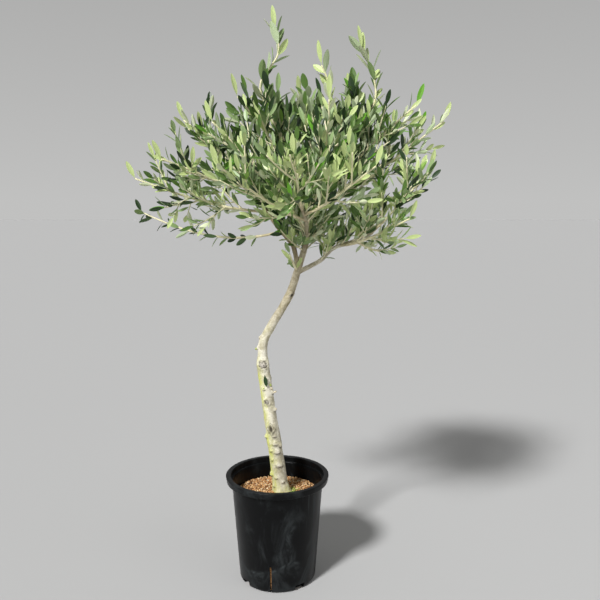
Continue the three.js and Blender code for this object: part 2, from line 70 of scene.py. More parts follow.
# Pot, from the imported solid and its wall
POT_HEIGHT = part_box("pot")[1].z
RIM_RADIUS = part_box("pot")[1].x
FOOT_RADIUS = 0.0815
LOW_RADIUS = 0.0895
HIGH_RADIUS = 0.106
CORNER_HEIGHT = 0.011
WALL = 0.0022
RIM_WIDTH = 0.0115
RIM_DROP = 0.014
RIM_DRAFT = 0.002
RIM_ROUNDING = 0.0012
STEP_WIDTH = 0.004
STEP_DEPTH = 0.013
STEP_ROUNDING = 0.0008
POT_SEGMENTS = 180
SHARP_ANGLE = 32
AXIS_GAP = 0.0008
SLIT_COUNT = 4
SLIT_WIDTH = 0.0036
SLIT_TOP = 0.066
SLIT_TURN = -8.4
NOTCH_WIDTH = 0.025
NOTCH_HEIGHT = 0.013

# A pale smudge on the pot's wall: turn from the front towards +X, and height
SMUDGE_LINE = [(-66, 0.060), (-61, 0.050), (-48, 0.042), (-26, 0.046), (-6, 0.054),
               (11, 0.068), (22, 0.077), (32, 0.066)]
SMUDGE_TAIL = [(22, 0.077), (21, 0.098), (15, 0.120), (15, 0.140), (21, 0.160)]
SMUDGE_WIDTH = 0.0036

# Potting mix
SOIL_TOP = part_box("soil")[1].z
SOIL_EDGE_DROP = 0.005
SOIL_GAP = 0.0006
SOIL_LIFT = 0.0004
SOIL_GRAIN = 0.0012
SOIL_SEGMENTS = 240
SOIL_RINGS = 60
CHIP_SEED = 11
CHIP_COUNT = 4600
CHIP_LENGTHS = (0.0030, 0.0074)
CHIP_RISE = (-0.0006, 0.0010)
CHIP_EDGE = 0.0022
SLIT_CHIP_COUNT = 260
SLIT_CHIP_LENGTHS = (0.002, 0.0034)
SLIT_CHIP_LOWEST = 0.006
SLIT_CHIP_DEPTH = 0.0018
SLIT_CHIP_ASIDE = 0.003
MOSS_PLACE = (0.031, 0.003)
MOSS_SEED = 5
MOSS_COUNT = 170
MOSS_SPREAD = (0.009, 0.008)
MOSS_RISE = 0.0022
MOSS_LENGTHS = (0.002, 0.0042)

# Trunk: centre line, radius at a few heights, and root flare
TRUNK_LINE = [
    (0.012, 0.002, 0.188), (-0.005, 0.001, 0.314), (-0.024, 0, 0.449), (-0.032, 0, 0.515),
    (-0.030, 0, 0.566), (-0.014, 0.002, 0.598), (0.028, 0.002, 0.670), (0.051, 0, 0.739),
]
TRUNK_GIRTH = [
    (0.208, 0.0172), (0.314, 0.0166), (0.400, 0.0144), (0.508, 0.0142), (0.532, 0.0111),
    (0.600, 0.0098), (0.690, 0.0090), (0.739, 0.0076),
]
TRUNK_FOOT = 0.204
TRUNK_SIDES = 112
TRUNK_STEP = 0.0011
TRUNK_REACH = 0.013
FLARE_RADIUS = 0.005
FLARE_HEIGHT = 0.014

# Waves, ridges and bands of the bark: how fine across and along, and how high
BARK_RELIEF = [((38, 38, 38), 0.0009), ((190, 190, 42), 0.00045), ((60, 60, 420), 0.0004)]

# Knots on the trunk: kind, height, turn from the front towards +X, and size. A hole has
# its narrowness too.
KNOT_REACH = 2.6
KNOTS = [
    ("wart", 0.224, -52, 0.0045), ("wart", 0.235, 26, 0.0050), ("wart", 0.245, -24, 0.0045),
    ("wart", 0.251, -67, 0.0070), ("eye", 0.275, 18, 0.0100), ("wart", 0.288, -38, 0.0045),
    ("eye", 0.300, 150, 0.0070), ("eye", 0.306, 19, 0.0078), ("wart", 0.310, -35, 0.0045),
    ("wart", 0.322, 53, 0.0070), ("eye", 0.326, 8, 0.0074), ("wart", 0.341, -85, 0.0070),
    ("hole", 0.362, -7, 0.0115, 1.4), ("eye", 0.392, -150, 0.0070), ("wart", 0.406, 62, 0.0060),
    ("scar_and_shade", 0.426, -11, 0.0078), ("wart", 0.447, 72, 0.0070), ("wart", 0.456, -18, 0.0040),
    ("scar_and_shade", 0.478, 140, 0.0075), ("scar_and_shade", 0.514, 2, 0.0130), ("eye", 0.345, 12, 0.0060),
    ("wart", 0.550, -85, 0.0060), ("wart", 0.574, -90, 0.0050), ("eye", 0.610, 165, 0.0060),
    ("hole", 0.672, 32, 0.0060, 1.1),
]

# Broken stubs and buds on the trunk: height, turn, length, radius, rise, and 0 for wood
# or 1 for a green bud
STUBS = [
    (0.444, 70, 0.0105, 0.0024, 0.5, 0), (0.452, 52, 0.0060, 0.0028, 1.4, 0),
    (0.406, 66, 0.0050, 0.0022, 0.3, 0), (0.456, -18, 0.0035, 0.0018, 0.6, 1),
    (0.546, -84, 0.0060, 0.0024, 0.3, 1), (0.463, 48, 0.0030, 0.0030, 0.6, 1),
    (0.252, -70, 0.0045, 0.0020, 0.4, 0),
]
STUB_SWELLS = (1.5, 1.25, 1.05, 0.9, 0.85, 1.0, 1.1, 0.75)
STUB_SIDES = 9
STUB_ROOT = 0.003

# The one small leaf that hangs on the trunk
TRUNK_LEAF_TOP = np.array((-0.0275, -0.0160, 0.4905))
TRUNK_LEAF_BOTTOM = np.array((-0.0230, -0.0185, 0.4640))
TRUNK_LEAF_WIDTH = 0.0092

# Main boughs: the limb that each leaves, the share of it where it does so, its two
# radii, and the points it passes
MAIN_BOUGHS = {
    "middle": ("trunk", 1, (0.0076, 0.0036), [
        (0.064, 0.005, 0.780), (0.071, 0.010, 0.808), (0.069, 0.010, 0.884), (0.057, 0.005, 0.955)]),
    "left": ("trunk", 0.985, (0.0056, 0.0034), [
        (0.037, -0.005, 0.783), (0.007, -0.010, 0.820), (-0.030, -0.015, 0.873),
        (-0.058, -0.018, 0.902)]),
    "right": ("trunk", 0.97, (0.0052, 0.0034), [
        (0.098, -0.005, 0.750), (0.126, -0.010, 0.777), (0.166, -0.012, 0.792),
        (0.214, -0.018, 0.812)]),
    "front": ("middle", 0.12, (0.0046, 0.0034), [
        (0.066, -0.040, 0.800), (0.066, -0.092, 0.838), (0.056, -0.130, 0.868)]),
    "back": ("middle", 0.2, (0.0046, 0.0034), [
        (0.072, 0.052, 0.812), (0.076, 0.100, 0.842), (0.066, 0.138, 0.874)]),
}
BOUGH_SIDES = 18
BOUGH_STEP = 0.003
COLLAR_SWELL = 0.3
COLLAR_LENGTH = 0.012
BROWNING = {"middle": 0.70, "left": 1.0, "right": 0.25, "front": 0.7, "back": 0.7}
BROWNING_REACH = 0.05
LIMB_SAMPLES = 9

# Leafy twigs on the main boughs themselves: the share of the bough where they start
BOUGH_TWIGS = {"middle": 0.14, "left": 0.22, "right": 0.30, "front": 0.08, "back": 0.25}
BOUGH_TWIG_SPACING = 0.012
BOUGH_TWIG_TURN = 97
BOUGH_TWIG_ARC = 220
BOUGH_TWIG_SIZE = 0.85

# A twig without leaves, at the right
BARE_TWIG = [(0.191, -0.015, 0.803), (0.228, -0.020, 0.796), (0.265, -0.026, 0.793)]
BARE_TWIG_RADII = (0.0016, 0.0013)

# How a shoot branches. Level 0 is its stem, 1 a twig and 2 a twig's own twig.
STEM_RADII = [(0.0033, 0.0016), (0.0019, 0.0012), (0.0013, 0.0009)]
STEM_STEP = 0.005
STEM_SAMPLES = 48
TUBE_SIDES = [8, 6, 5]
NODE_SPACING = [0.0205, 0.0152, 0.0120]
NODE_SCATTER = 0.2
NODE_TURN = 90
NODE_SWELL = 0.2
NODE_WIDTH = 0.0028
SPARSE_SPACING = 0.030
FIRST_NODE = [0.010, 0.012, 0.010]
OLD_WOOD = 0.50
OLD_WOOD_LEAVES = 0.35
BRANCH_EVERY = [1, 2, 0]
BRANCH_ZONE = [0.76, 0.60, 0]
BUSHY_ZONE = 0.62
BRANCH_LENGTH = [0.108, 0.050]
BRANCH_SHORTENING = 0.55
BRANCH_SPREAD = 44
BRANCH_LIFT = 0.18
BRANCH_SCATTER = 0.3
TURN_SCATTER = 50
SPREAD_SCATTER = 26
LEAF_LENGTH = 0.0365
LEAF_WIDTH = 0.0098
LENGTH_SCATTER = 0.40
WIDTH_SCATTER = 0.30
LOW_LEAF = 0.94
HIGH_LEAF = 1.42
LEAF_RISE = (1.02, 1.22)
LEAF_SPREAD = 38
LEAF_ROLL = 70
LIFT_SCATTER = 0.95
TWIG_LIFT_SCATTER = 0.60
TIP_LEAF_LENGTH = 0.052
TIP_LEAF_BREADTH = 1.15
TIP_BEND = 3
LOW_TIP_LEAF = 0.80
NEARLY_STRAIGHT = 0.3
LIMB_MARGIN = 0.0016
TIP_MARGIN = 0.0002
RETRY_TURNS = (0, 17, -34, 51)
RETRY_SHORTENING = 0.14
CROWN_OUTSIDE = (0.35, 0.90)
CHANCE_STRIDE = 7919
CHANCE_FACTOR = 48271
CHANCE_MODULUS = 2147483647

# What a shoot is like unless its own line says otherwise. It bends by its sag (down) and
# sway (to the right), as shares of its length, or goes through the points named. Its
# size scales its leaves, entry is the share of it that is bare, zone the share that has
# twigs, and a sparse one has none. Lift turns its leaves up and breadth widens them,
# twig_lift turns its twigs up and tip_rise its last leaf. Kind is the kind of its
# leaves, strays the share that may be of any kind, and tip_kind that of its last leaf.
USUAL = dict(sag=0, sway=0, through=(), size=1, entry=0.13, zone=BRANCH_ZONE[0], sparse=False,
             lift=0.36, breadth=1, twig_lift=0.25, tip_rise=1.2, kind="young_and_lit", strays=0.60,
             tip_kind=None)


# A shoot leaves a limb at a share of its length, and ends in the leaf tip named
def shoot(limb, at, tip, **traits):
    return {**USUAL, "limb": limb, "at": at, "tip": np.array(tip), **traits}


SHOOTS = {
    "left_long": shoot("left", 0.72, (-0.322, -0.030, 0.967), sag=0.08, twig_lift=-0.30),
    "left_low": shoot("left", 0.46, (-0.330, 0.080, 0.886), sag=0.12, sparse=True, size=0.8,
        kind="dark_and_shaded", strays=0.25, lift=-0.15, breadth=1.35),
    "left_mid": shoot("left", 0.97, (-0.248, -0.110, 1.005), sag=0.05, twig_lift=-0.10),
    "left_high": shoot("left", 0.84, (-0.221, 0.040, 1.102), sag=-0.03),
    "middle_left": shoot("middle", 0.7, (-0.090, -0.060, 1.145)),
    "spire_left": shoot("middle", 0.98, (-0.006, -0.010, 1.293), zone=0.38, breadth=1.25,
        through=[(-0.031, -0.010, 1.125), (0.012, -0.010, 1.199)]),
    "top_middle": shoot("middle", 0.88, (0.048, 0.080, 1.165), sway=0.05, zone=0.6),
    "spire_middle": shoot("middle", 0.93, (0.091, -0.020, 1.220), sway=0.17, zone=0.45,
        breadth=1.25),
    "spire_right": shoot("middle", 0.78, (0.178, 0.010, 1.257), zone=0.50, breadth=1.25,
        through=[(0.184, 0.005, 1.036), (0.222, 0.010, 1.117)]),
    "right_high": shoot("middle", 0.6, (0.318, -0.020, 1.131), sag=0.02, tip_kind="bright"),
    "right_far": shoot("middle", 0.5, (0.387, 0.030, 1.099), sag=0.05),
    "right_mid": shoot("right", 0.95, (0.332, -0.090, 0.988), sag=0.03, sway=0.04),
    "right_low": shoot("right", 0.6, (0.292, -0.120, 0.884), sag=0.1),
    "right_hanging": shoot("right", 0.78, (0.272, 0.034, 0.764), sag=0.08, size=0.7,
        entry=0.15, lift=0.1, tip_rise=0),
    "front_left_high": shoot("front", 0.55, (-0.136, -0.130, 1.081)),
    "front_left": shoot("front", 0.75, (-0.110, -0.262, 0.985), sag=0.08),
    "front_middle": shoot("front", 0.97, (0.040, -0.318, 1.000), sag=0.08),
    "front_right": shoot("front", 0.86, (0.205, -0.250, 0.985), sag=0.08),
    "front_high": shoot("front", 0.64, (0.110, -0.165, 1.125), sway=0.05),
    "back_left": shoot("back", 0.75, (-0.140, 0.225, 1.005), sag=0.08),
    "back_middle": shoot("back", 0.97, (0.060, 0.322, 1.010), sag=0.08),
    "back_right": shoot("back", 0.86, (0.232, 0.245, 1.000), sag=0.08),
    "back_high_left": shoot("back", 0.64, (-0.030, 0.160, 1.110)),
    "back_high_right": shoot("back", 0.5, (0.164, 0.120, 1.177), sway=0.05),
    "fork_sprig": shoot("trunk", 0.975, (0.022, -0.074, 0.796), sag=0.05, size=0.95, entry=0,
        sparse=True, kind="silver", strays=0.25, tip_rise=0, lift=-0.05,
        breadth=1.15),
}

# Leaf kinds: colour above, colour below, and how often a spray has them inside the crown
# and at its outside. The shift between the two is painted light and shade: paler kinds at
# the crown's outside and top, where light falls, the deepest green ones inside, where shade falls.
LEAF_KINDS = {
    "young_and_lit": ((0.50, 0.60, 0.25), (0.70, 0.76, 0.50), 0.14, 0.42),
    "silver": ((0.27, 0.38, 0.16), (0.52, 0.63, 0.38), 0.20, 0.26),
    "mid": ((0.085, 0.165, 0.030), (0.24, 0.35, 0.13), 0.32, 0.25),
    "dark_and_shaded": ((0.018, 0.046, 0.011), (0.065, 0.12, 0.040), 0.32, 0.04),
    "bright": ((0.12, 0.33, 0.018), (0.28, 0.48, 0.09), 0.03, 0.05),
}
STEM_TONES = {
    "shoot_stems": [(0.52, 0.45, 0.27), (0.69, 0.62, 0.39), (0.79, 0.73, 0.48), (0.81, 0.76, 0.49)],
    "twigs": [(0.80, 0.75, 0.50)],
    "fine_twigs": [(0.78, 0.75, 0.48)],
}

UP = np.array((0.0, 0.0, 1.0))
FRONT = np.array((0.0, -1.0, 0.0))


def unit(v):
    return v / np.linalg.norm(v)


def smoothstep(low, high, x):
    t = np.clip((x - low) / (high - low), 0, 1)
    return t * t * (3 - 2 * t)


def between(low, high, share):
    return low + (high - low) * share


# Repeatable chance, the same on every run
class Chance:
    def __init__(self, seed):
        self.state = seed * CHANCE_STRIDE + 1

    def draw(self):
        self.state = self.state * CHANCE_FACTOR % CHANCE_MODULUS
        return self.state / CHANCE_MODULUS

    def scatter(self, width):
        return (self.draw() - 0.5) * width


# A line read by its share of length
class Curve:
    def __init__(self, points):
        self.points = np.array(points, float)
        steps = np.linalg.norm(np.diff(self.points, axis=0), axis=1)
        self.along = np.concatenate([[0.0], np.cumsum(steps)])
        self.length = self.along[-1]

    def point(self, share):
        at = share * self.length
        return np.array([np.interp(at, self.along, self.points[:, k]) for k in range(3)])

    def tangent(self, share):
        ahead = self.point(min(share + 0.004, 1))
        behind = self.point(max(share - 0.004, 0))
        return unit(ahead - behind)

    def stretch(self, start, end, count):
        return np.array([self.point(s) for s in np.linspace(start, end, count)])


# A smooth curve through points, with centripetal spacing
def curve_through(points, steps=24):
    points = [np.array(p, float) for p in points]
    points = [2 * points[0] - points[1], *points, 2 * points[-1] - points[-2]]
    line = []
    for a, b, c, d in zip(points, points[1:], points[2:], points[3:]):
        gaps = [max(np.linalg.norm(q - p) ** 0.5, 1e-6) for p, q in ((a, b), (b, c), (c, d))]
        leave = ((b - a) / gaps[0] - (c - a) / (gaps[0] + gaps[1]) + (c - b) / gaps[1]) * gaps[1]
        arrive = ((c - b) / gaps[1] - (d - b) / (gaps[1] + gaps[2]) + (d - c) / gaps[2]) * gaps[1]
        for t in np.arange(steps) / steps:
            cubic = (2 * b - 2 * c + leave + arrive) * t ** 3
            square = (3 * c - 3 * b - 2 * leave - arrive) * t ** 2
            line.append(cubic + square + leave * t + b)
    line.append(points[-2])
    return Curve(line)


def curve_bent(start, control, end, steps=40):
    shares = np.linspace(0, 1, steps + 1)[:, None]
    return Curve((1 - shares) ** 2 * start + 2 * shares * (1 - shares) * control + shares ** 2 * end)


def new_object(name, data, place=(0, 0, 0), turn=(0, 0, 0)):
    made = bpy.data.objects.new(name, data)
    made.location = place
    made.rotation_euler = turn
    bpy.context.scene.collection.objects.link(made)
    return made


# Corners and faces of many parts, joined into one mesh
class Heap:
    def __init__(self):
        self.corners = []
        self.groups = []
        self.count = 0

    def add(self, corners, faces, slots=(0, 0, 0)):
        for group, slot in zip(faces, slots):
            self.groups.append((np.asarray(group) + self.count, slot))
        self.corners.append(corners)
        self.count += len(corners)

    def build(self, name, materials, sharp_above=None, smooth=True):
        mesh = bpy.data.meshes.new(name)
        corners = np.concatenate(self.corners).astype(np.float32)
        loops = np.concatenate([group.ravel() for group, _ in self.groups]).astype(np.int32)
        sizes = np.concatenate([np.full(len(group), group.shape[1]) for group, _ in self.groups])
        slots = np.concatenate([np.full(len(group), slot) for group, slot in self.groups])
        mesh.vertices.add(len(corners))
        mesh.vertices.foreach_set("co", corners.ravel())
        mesh.loops.add(len(loops))
        mesh.loops.foreach_set("vertex_index", loops)
        mesh.polygons.add(len(sizes))
        mesh.polygons.foreach_set("loop_start", (np.cumsum(sizes) - sizes).astype(np.int32))
        for material in materials:
            mesh.materials.append(material)
        mesh.polygons.foreach_set("material_index", slots.astype(np.int32))
        mesh.polygons.foreach_set("use_smooth", np.full(len(sizes), smooth))
        mesh.update(calc_edges=True)
        mesh.validate()
        if sharp_above is not None:
            mesh.set_sharp_from_angle(angle=math.radians(sharp_above))
        return new_object(name, mesh)


# Rings of corners along a line, with a flat cap at both ends
def ring_frames(points):
    tangents = np.gradient(points, axis=0)
    tangents /= np.linalg.norm(tangents, axis=1)[:, None]
    reference = UP if abs(tangents[0] @ UP) < 0.9 else FRONT
    side = unit(np.cross(tangents[0], reference))
    sides = []
    for tangent in tangents:
        side = unit(side - tangent * (side @ tangent))
        sides.append(side)
    sides = np.array(sides)
    return sides, np.cross(tangents, sides)


def tube_faces(rings, sides):
    ring = np.arange(rings - 1)[:, None] * sides
    here = np.arange(sides)[None, :]
    after = (here + 1) % sides
    walls = np.stack([ring + here, ring + after, ring + sides + after, ring + sides + here], axis=-1)
    start_cap = np.arange(sides)[::-1][None, :]
    end_cap = (rings - 1) * sides + np.arange(sides)[None, :]
    return [walls.reshape(-1, 4), start_cap, end_cap]


def tube(points, radii, sides):
    across, over = ring_frames(points)
    turn = np.linspace(0, 2 * math.pi, sides, endpoint=False)
    outward = across[:, None] * np.cos(turn)[None, :, None] + over[:, None] * np.sin(turn)[None, :, None]
    radii = np.asarray(radii)
    if radii.ndim == 1:
        radii = radii[:, None]
    corners = points[:, None] + outward * radii[..., None]
    return corners.reshape(-1, 3), tube_faces(len(points), sides), outward


# Materials
def new_material(name, color, roughness, specular=0.5):
    material = bpy.data.materials.new(name)
    material.use_nodes = True
    shader = material.node_tree.nodes["Principled BSDF"]
    shader.inputs["Base Color"].default_value = (*color, 1)
    shader.inputs["Roughness"].default_value = roughness
    shader.inputs["Specular IOR Level"].default_value = specular
    return material


class Nodes:
    """Short ways to add shader nodes to a material or to the world"""

    def __init__(self, owner, shader="Principled BSDF"):
        self.tree = owner.node_tree
        self.shader = self.tree.nodes[shader]

    # An input takes a plain value, or what another node puts out
    def feed(self, node, inputs):
        for name, value in inputs.items():
            if isinstance(value, bpy.types.NodeSocket):
                self.tree.links.new(value, node.inputs[name])
            else:
                node.inputs[name].default_value = value

    def add(self, kind, result, inputs, **settings):
        node = self.tree.nodes.new(f"ShaderNode{kind}")
        for name, value in settings.items():
            setattr(node, name, value)
        self.feed(node, inputs)
        return node.outputs[result]

    def noise(self, scale, detail=4, roughness=0.6, stretch=(1, 1, 1), distortion=0):
        place = self.add("TexCoord", "Object", {})
        place = self.add("Mapping", "Vector", {"Vector": place, "Scale": stretch})
        return self.add("TexNoise", "Fac", {"Vector": place, "Scale": scale, "Detail": detail,
                                            "Roughness": roughness, "Distortion": distortion})

    def spread(self, value, low, high, to_low=0.0, to_high=1.0):
        ends = {"From Min": low, "From Max": high, "To Min": to_low, "To Max": to_high}
        return self.add("MapRange", "Result", {"Value": value, **ends}, interpolation_type="SMOOTHSTEP")

    def attribute(self, name):
        return self.add("Attribute", "Fac", {}, attribute_name=name)

    def math(self, operation, first, second):
        return self.add("Math", "Value", {0: first, 1: second}, operation=operation)

    def mix(self, factor, first, second):
        first, second = [(*end, 1) if isinstance(end, tuple) else end for end in (first, second)]
        return self.add("Mix", "Result", {"Factor": factor, "A": first, "B": second}, data_type="RGBA")

    def drive(self, name, source):
        self.feed(self.shader, {name: source})

    def bump(self, height, strength, distance):
        relief = {"Height": height, "Strength": strength, "Distance": distance}
        self.drive("Normal", self.add("Bump", "Normal", relief))


def pot_plastic():
    material = new_material("pot_plastic", (0.004, 0.0043, 0.0046), 0.42, 0.14)
    nodes = Nodes(material)
    cloud = nodes.spread(nodes.noise(34, 6, 0.68, (1, 1, 0.7), 1.8), 0.38, 0.62, 0.15, 1)
    smudge = nodes.math("MULTIPLY", nodes.attribute("smudge"), cloud)
    haze = nodes.spread(nodes.noise(11, 6, 0.68, (1, 1, 0.55), 1.6), 0.46, 0.72, 0, 0.60)
    streak = nodes.spread(nodes.noise(90, 3, 0.5, (1, 1, 0.035)), 0.54, 0.74)
    streak = nodes.math("MULTIPLY", nodes.attribute("streaks"), streak)
    dust = nodes.math("MAXIMUM", nodes.math("MAXIMUM", smudge, haze), streak)
    nodes.drive("Base Color", nodes.mix(dust, (0.0026, 0.0029, 0.0032), (0.040, 0.046, 0.048)))
    nodes.drive("Roughness", nodes.spread(dust, 0, 1, 0.34, 0.66))
    nodes.bump(nodes.noise(700, 2), 0.12, 0.0002)
    return material


def bark_surface():
    material = new_material("bark", (0.58, 0.54, 0.42), 0.78, 0.25)
    nodes = Nodes(material)
    patches = nodes.spread(nodes.noise(48, 5, 0.65, (1, 1, 0.7), 0.8), 0.36, 0.64)
    bark = nodes.mix(patches, (0.48, 0.44, 0.31), (0.80, 0.76, 0.63))
    flecks = nodes.spread(nodes.noise(210, 5, 0.7, (1, 1, 2.6)), 0.53, 0.68)
    algae = nodes.spread(nodes.noise(75, 5, 0.7, (1, 1, 0.6), 1.0), 0.34, 0.62, 0.25, 1)
    algae = nodes.math("MULTIPLY", nodes.attribute("algae"), algae)
    brown = nodes.mix(patches, (0.20, 0.155, 0.085), (0.38, 0.315, 0.19))
    bark = nodes.mix(nodes.attribute("brown"), bark, brown)
    bark = nodes.mix(algae, bark, (0.58, 0.60, 0.16))
    bark = nodes.mix(nodes.math("MULTIPLY", flecks, 0.6), bark, (0.24, 0.20, 0.12))
    bark = nodes.mix(nodes.attribute("heartwood"), bark, (0.50, 0.46, 0.40))
    # Scars, and painted shade under knots, in their creases and inside holes, all in one near-black colour
    bark = nodes.mix(nodes.attribute("scar_and_shade"), bark, (0.030, 0.021, 0.013))
    nodes.drive("Base Color", bark)
    nodes.bump(nodes.noise(380, 6, 0.75, (1, 1, 1.6)), 0.7, 0.0009)
    return material


def soil_body():
    material = new_material("soil_body", (0.22, 0.11, 0.045), 0.95, 0.1)
    nodes = Nodes(material)
    grains = nodes.spread(nodes.noise(330, 3, 0.6), 0.35, 0.65)
    nodes.drive("Base Color", nodes.mix(grains, (0.080, 0.040, 0.018), (0.50, 0.26, 0.10)))
    nodes.bump(nodes.noise(420, 4, 0.7), 0.9, 0.001)
    return material


def leaf_surface(name, color, roughness, relief):
    material = new_material(name, color, roughness, 0.42)
    nodes = Nodes(material)
    nodes.bump(nodes.noise(300, 3, 0.6), relief, 0.0002)
    return material


# Pot: a turned shell with a stepped, rounded rim, cut by slits and foot notches
def arc(centre, radius, start, end, steps=5):
    turns = np.radians(np.linspace(start, end, steps + 1))
    return [(centre[0] + radius * math.cos(t), centre[1] + radius * math.sin(t)) for t in turns]


def inner_radius(height):
    share = (height - CORNER_HEIGHT) / (POT_HEIGHT - RIM_DROP - CORNER_HEIGHT)
    return between(LOW_RADIUS, HIGH_RADIUS, share) - WALL


def pot_profile():
    rim_bottom = POT_HEIGHT - RIM_DROP
    mouth = RIM_RADIUS - RIM_WIDTH
    step_height = POT_HEIGHT - STEP_DEPTH
    corner = [(FOOT_RADIUS + (LOW_RADIUS - FOOT_RADIUS) * math.sin(t), CORNER_HEIGHT * (1 - math.cos(t)))
              for t in np.linspace(0, math.pi / 2, 8)[:-1]]
    wall = [(between(LOW_RADIUS, HIGH_RADIUS, t),
             between(CORNER_HEIGHT, rim_bottom - RIM_ROUNDING, t)) for t in np.linspace(0, 1, 90)]
    inside = [(inner_radius(z), z) for z in np.linspace(step_height - 0.006, CORNER_HEIGHT, 12)]
    small = RIM_ROUNDING
    step = STEP_ROUNDING
    return [
        (AXIS_GAP, 0.0), (FOOT_RADIUS * 0.5, 0.0), *corner, *wall,
        *arc((HIGH_RADIUS + 2 * small, rim_bottom - small), small, 180, 90, 3),
        *arc((RIM_RADIUS - RIM_DRAFT - small, rim_bottom + small), small, -90, 0),
        *arc((RIM_RADIUS - small, POT_HEIGHT - small), small, 0, 90),
        *arc((mouth + small, POT_HEIGHT - small), small, 90, 180),
        *arc((mouth - step, step_height + step), step, 0, -90, 3),
        *arc((mouth - STEP_WIDTH + step, step_height - step), step, 90, 180, 3),
        *inside, (FOOT_RADIUS, WALL), (FOOT_RADIUS * 0.5, WALL), (AXIS_GAP, WALL),
    ]


# A profile of radii and heights, turned round the Z axis
def profile_rings(profile, segments):
    turn = np.linspace(0, 2 * math.pi, segments, endpoint=False)
    return [np.stack([radius * np.cos(turn), radius * np.sin(turn), np.full(segments, height)], axis=1)
            for radius, height in profile]


# The ways out and aside at a turn from the front towards +X
def out_and_aside(turn):
    sine, cosine = math.sin(turn), math.cos(turn)
    return np.array((sine, -cosine, 0)), np.array((cosine, sine, 0))


def block(heap, turn, width, inner, outer, bottom, top):
    out, aside = out_and_aside(turn)
    corners = []
    for along in (inner, outer):
        for side, height in ((-1, bottom), (1, bottom), (1, top), (-1, top)):
            corners.append(out * along + aside * width / 2 * side + UP * height)
    heap.add(np.array(corners), tube_faces(2, 4))


def cut(piece, cutter):
    modifier = piece.modifiers.new("cut", "BOOLEAN")
    modifier.operation = "DIFFERENCE"
    modifier.solver = "EXACT"
    modifier.object = cutter
    bpy.context.view_layer.update()
    carved = piece.evaluated_get(bpy.context.evaluated_depsgraph_get())
    mesh = bpy.data.meshes.new_from_object(carved)
    piece.modifiers.clear()
    piece.data = mesh
    bpy.data.objects.remove(cutter)


def slit_turn(number):
    return math.radians(SLIT_TURN + number % SLIT_COUNT * 360 / SLIT_COUNT)


def build_pot():
    profile = pot_profile()
    heap = Heap()
    heap.add(np.concatenate(profile_rings(profile, POT_SEGMENTS)), tube_faces(len(profile), POT_SEGMENTS))
    pot = heap.build("nursery_pot", [pot_plastic()], SHARP_ANGLE)
    cutters = Heap()
    for i in range(SLIT_COUNT):
        turn = slit_turn(i)
        reach = (FOOT_RADIUS - 2 * WALL, RIM_RADIUS)
        block(cutters, turn, SLIT_WIDTH, *reach, -WALL, SLIT_TOP)
        block(cutters, turn + math.pi / SLIT_COUNT, NOTCH_WIDTH, *reach, -WALL, NOTCH_HEIGHT)
    cut(pot, cutters.build("pot_cutters", []))
    pot.data.set_sharp_from_angle(angle=math.radians(SHARP_ANGLE))
    mark_dust(pot)
    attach(pot, "root")
    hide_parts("pot")


def bell(distance, width):
    return np.exp(-(distance / width) ** 2)


# Dust on the wall: an arched smudge with haze below it, and streaks at the right
def mark_dust(pot):
    x, y, z = np.array([corner.co for corner in pot.data.vertices], np.float32).T
    outside = np.hypot(x, y) > inner_radius(z) + WALL / 2
    turn = np.arctan2(x, -y)
    wall = np.stack([turn * LOW_RADIUS, np.zeros_like(z), z], axis=1)
    gaps = []
    for line in (SMUDGE_LINE, SMUDGE_TAIL):
        line = np.array([(math.radians(t) * LOW_RADIUS, 0, height) for t, height in line])
        gaps.append(gap_to_line(wall, line))
    arch = np.interp(turn, *zip(*[(math.radians(t), height) for t, height in SMUDGE_LINE]))
    below = smoothstep(0.002, -0.004, z - arch) * smoothstep(-0.045, -0.004, z - arch)
    below *= smoothstep(-1.3, -1.1, turn) * smoothstep(0.75, 0.5, turn)
    smudge = np.maximum(bell(gaps[0], SMUDGE_WIDTH), 0.75 * bell(gaps[1], 2 * SMUDGE_WIDTH))
    smudge = np.maximum(smudge, 0.45 * below) * outside
    high = smoothstep(0.13, 0.20, z) * smoothstep(0.234, 0.226, z)
    streaks = high * smoothstep(0.2, 0.6, turn) * smoothstep(1.5, 1.2, turn) * outside
    set_attribute(pot, "smudge", smudge)
    set_attribute(pot, "streaks", streaks)


def set_attribute(piece, name, values):
    layer = piece.data.attributes.new(name, "FLOAT", "POINT")
    layer.data.foreach_set("value", np.asarray(values, np.float32))


# Potting mix: a heaped body with thousands of loose chips on it and in the slits
def soil_height(radius):
    edge = inner_radius(SOIL_TOP)
    return SOIL_TOP - 0.0006 - SOIL_EDGE_DROP * np.clip(radius / edge, 0, 1) ** 2.4


def build_soil_body():
    edge = SOIL_TOP - SOIL_EDGE_DROP
    floor = WALL + SOIL_LIFT
    profile = [(AXIS_GAP, floor), (FOOT_RADIUS - 0.014, floor)]
    profile += [(inner_radius(z) - 2 * SOIL_GAP, z)
                for z in np.linspace(NOTCH_HEIGHT + 0.001, edge - 0.002, SOIL_RINGS)]
    widest = inner_radius(edge) - 2 * SOIL_GAP
    profile += [(r, soil_height(r)) for r in np.linspace(widest, AXIS_GAP, SOIL_RINGS)]
    rings = profile_rings(profile, SOIL_SEGMENTS)
    for ring, (radius, height) in zip(rings, profile):
        for corner in ring:
            rough = abs(noise.noise(Vector(corner) * 420)) * SOIL_GRAIN
            inward = 1 - rough / max(radius, 0.01)
            corner *= (inward, inward, 1)
            corner[2] -= rough if height > edge else 0
    heap = Heap()
    heap.add(np.concatenate(rings), tube_faces(len(profile), SOIL_SEGMENTS))
    soil = heap.build("potting_mix", [soil_body()])
    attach(soil, "root")
    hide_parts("soil")


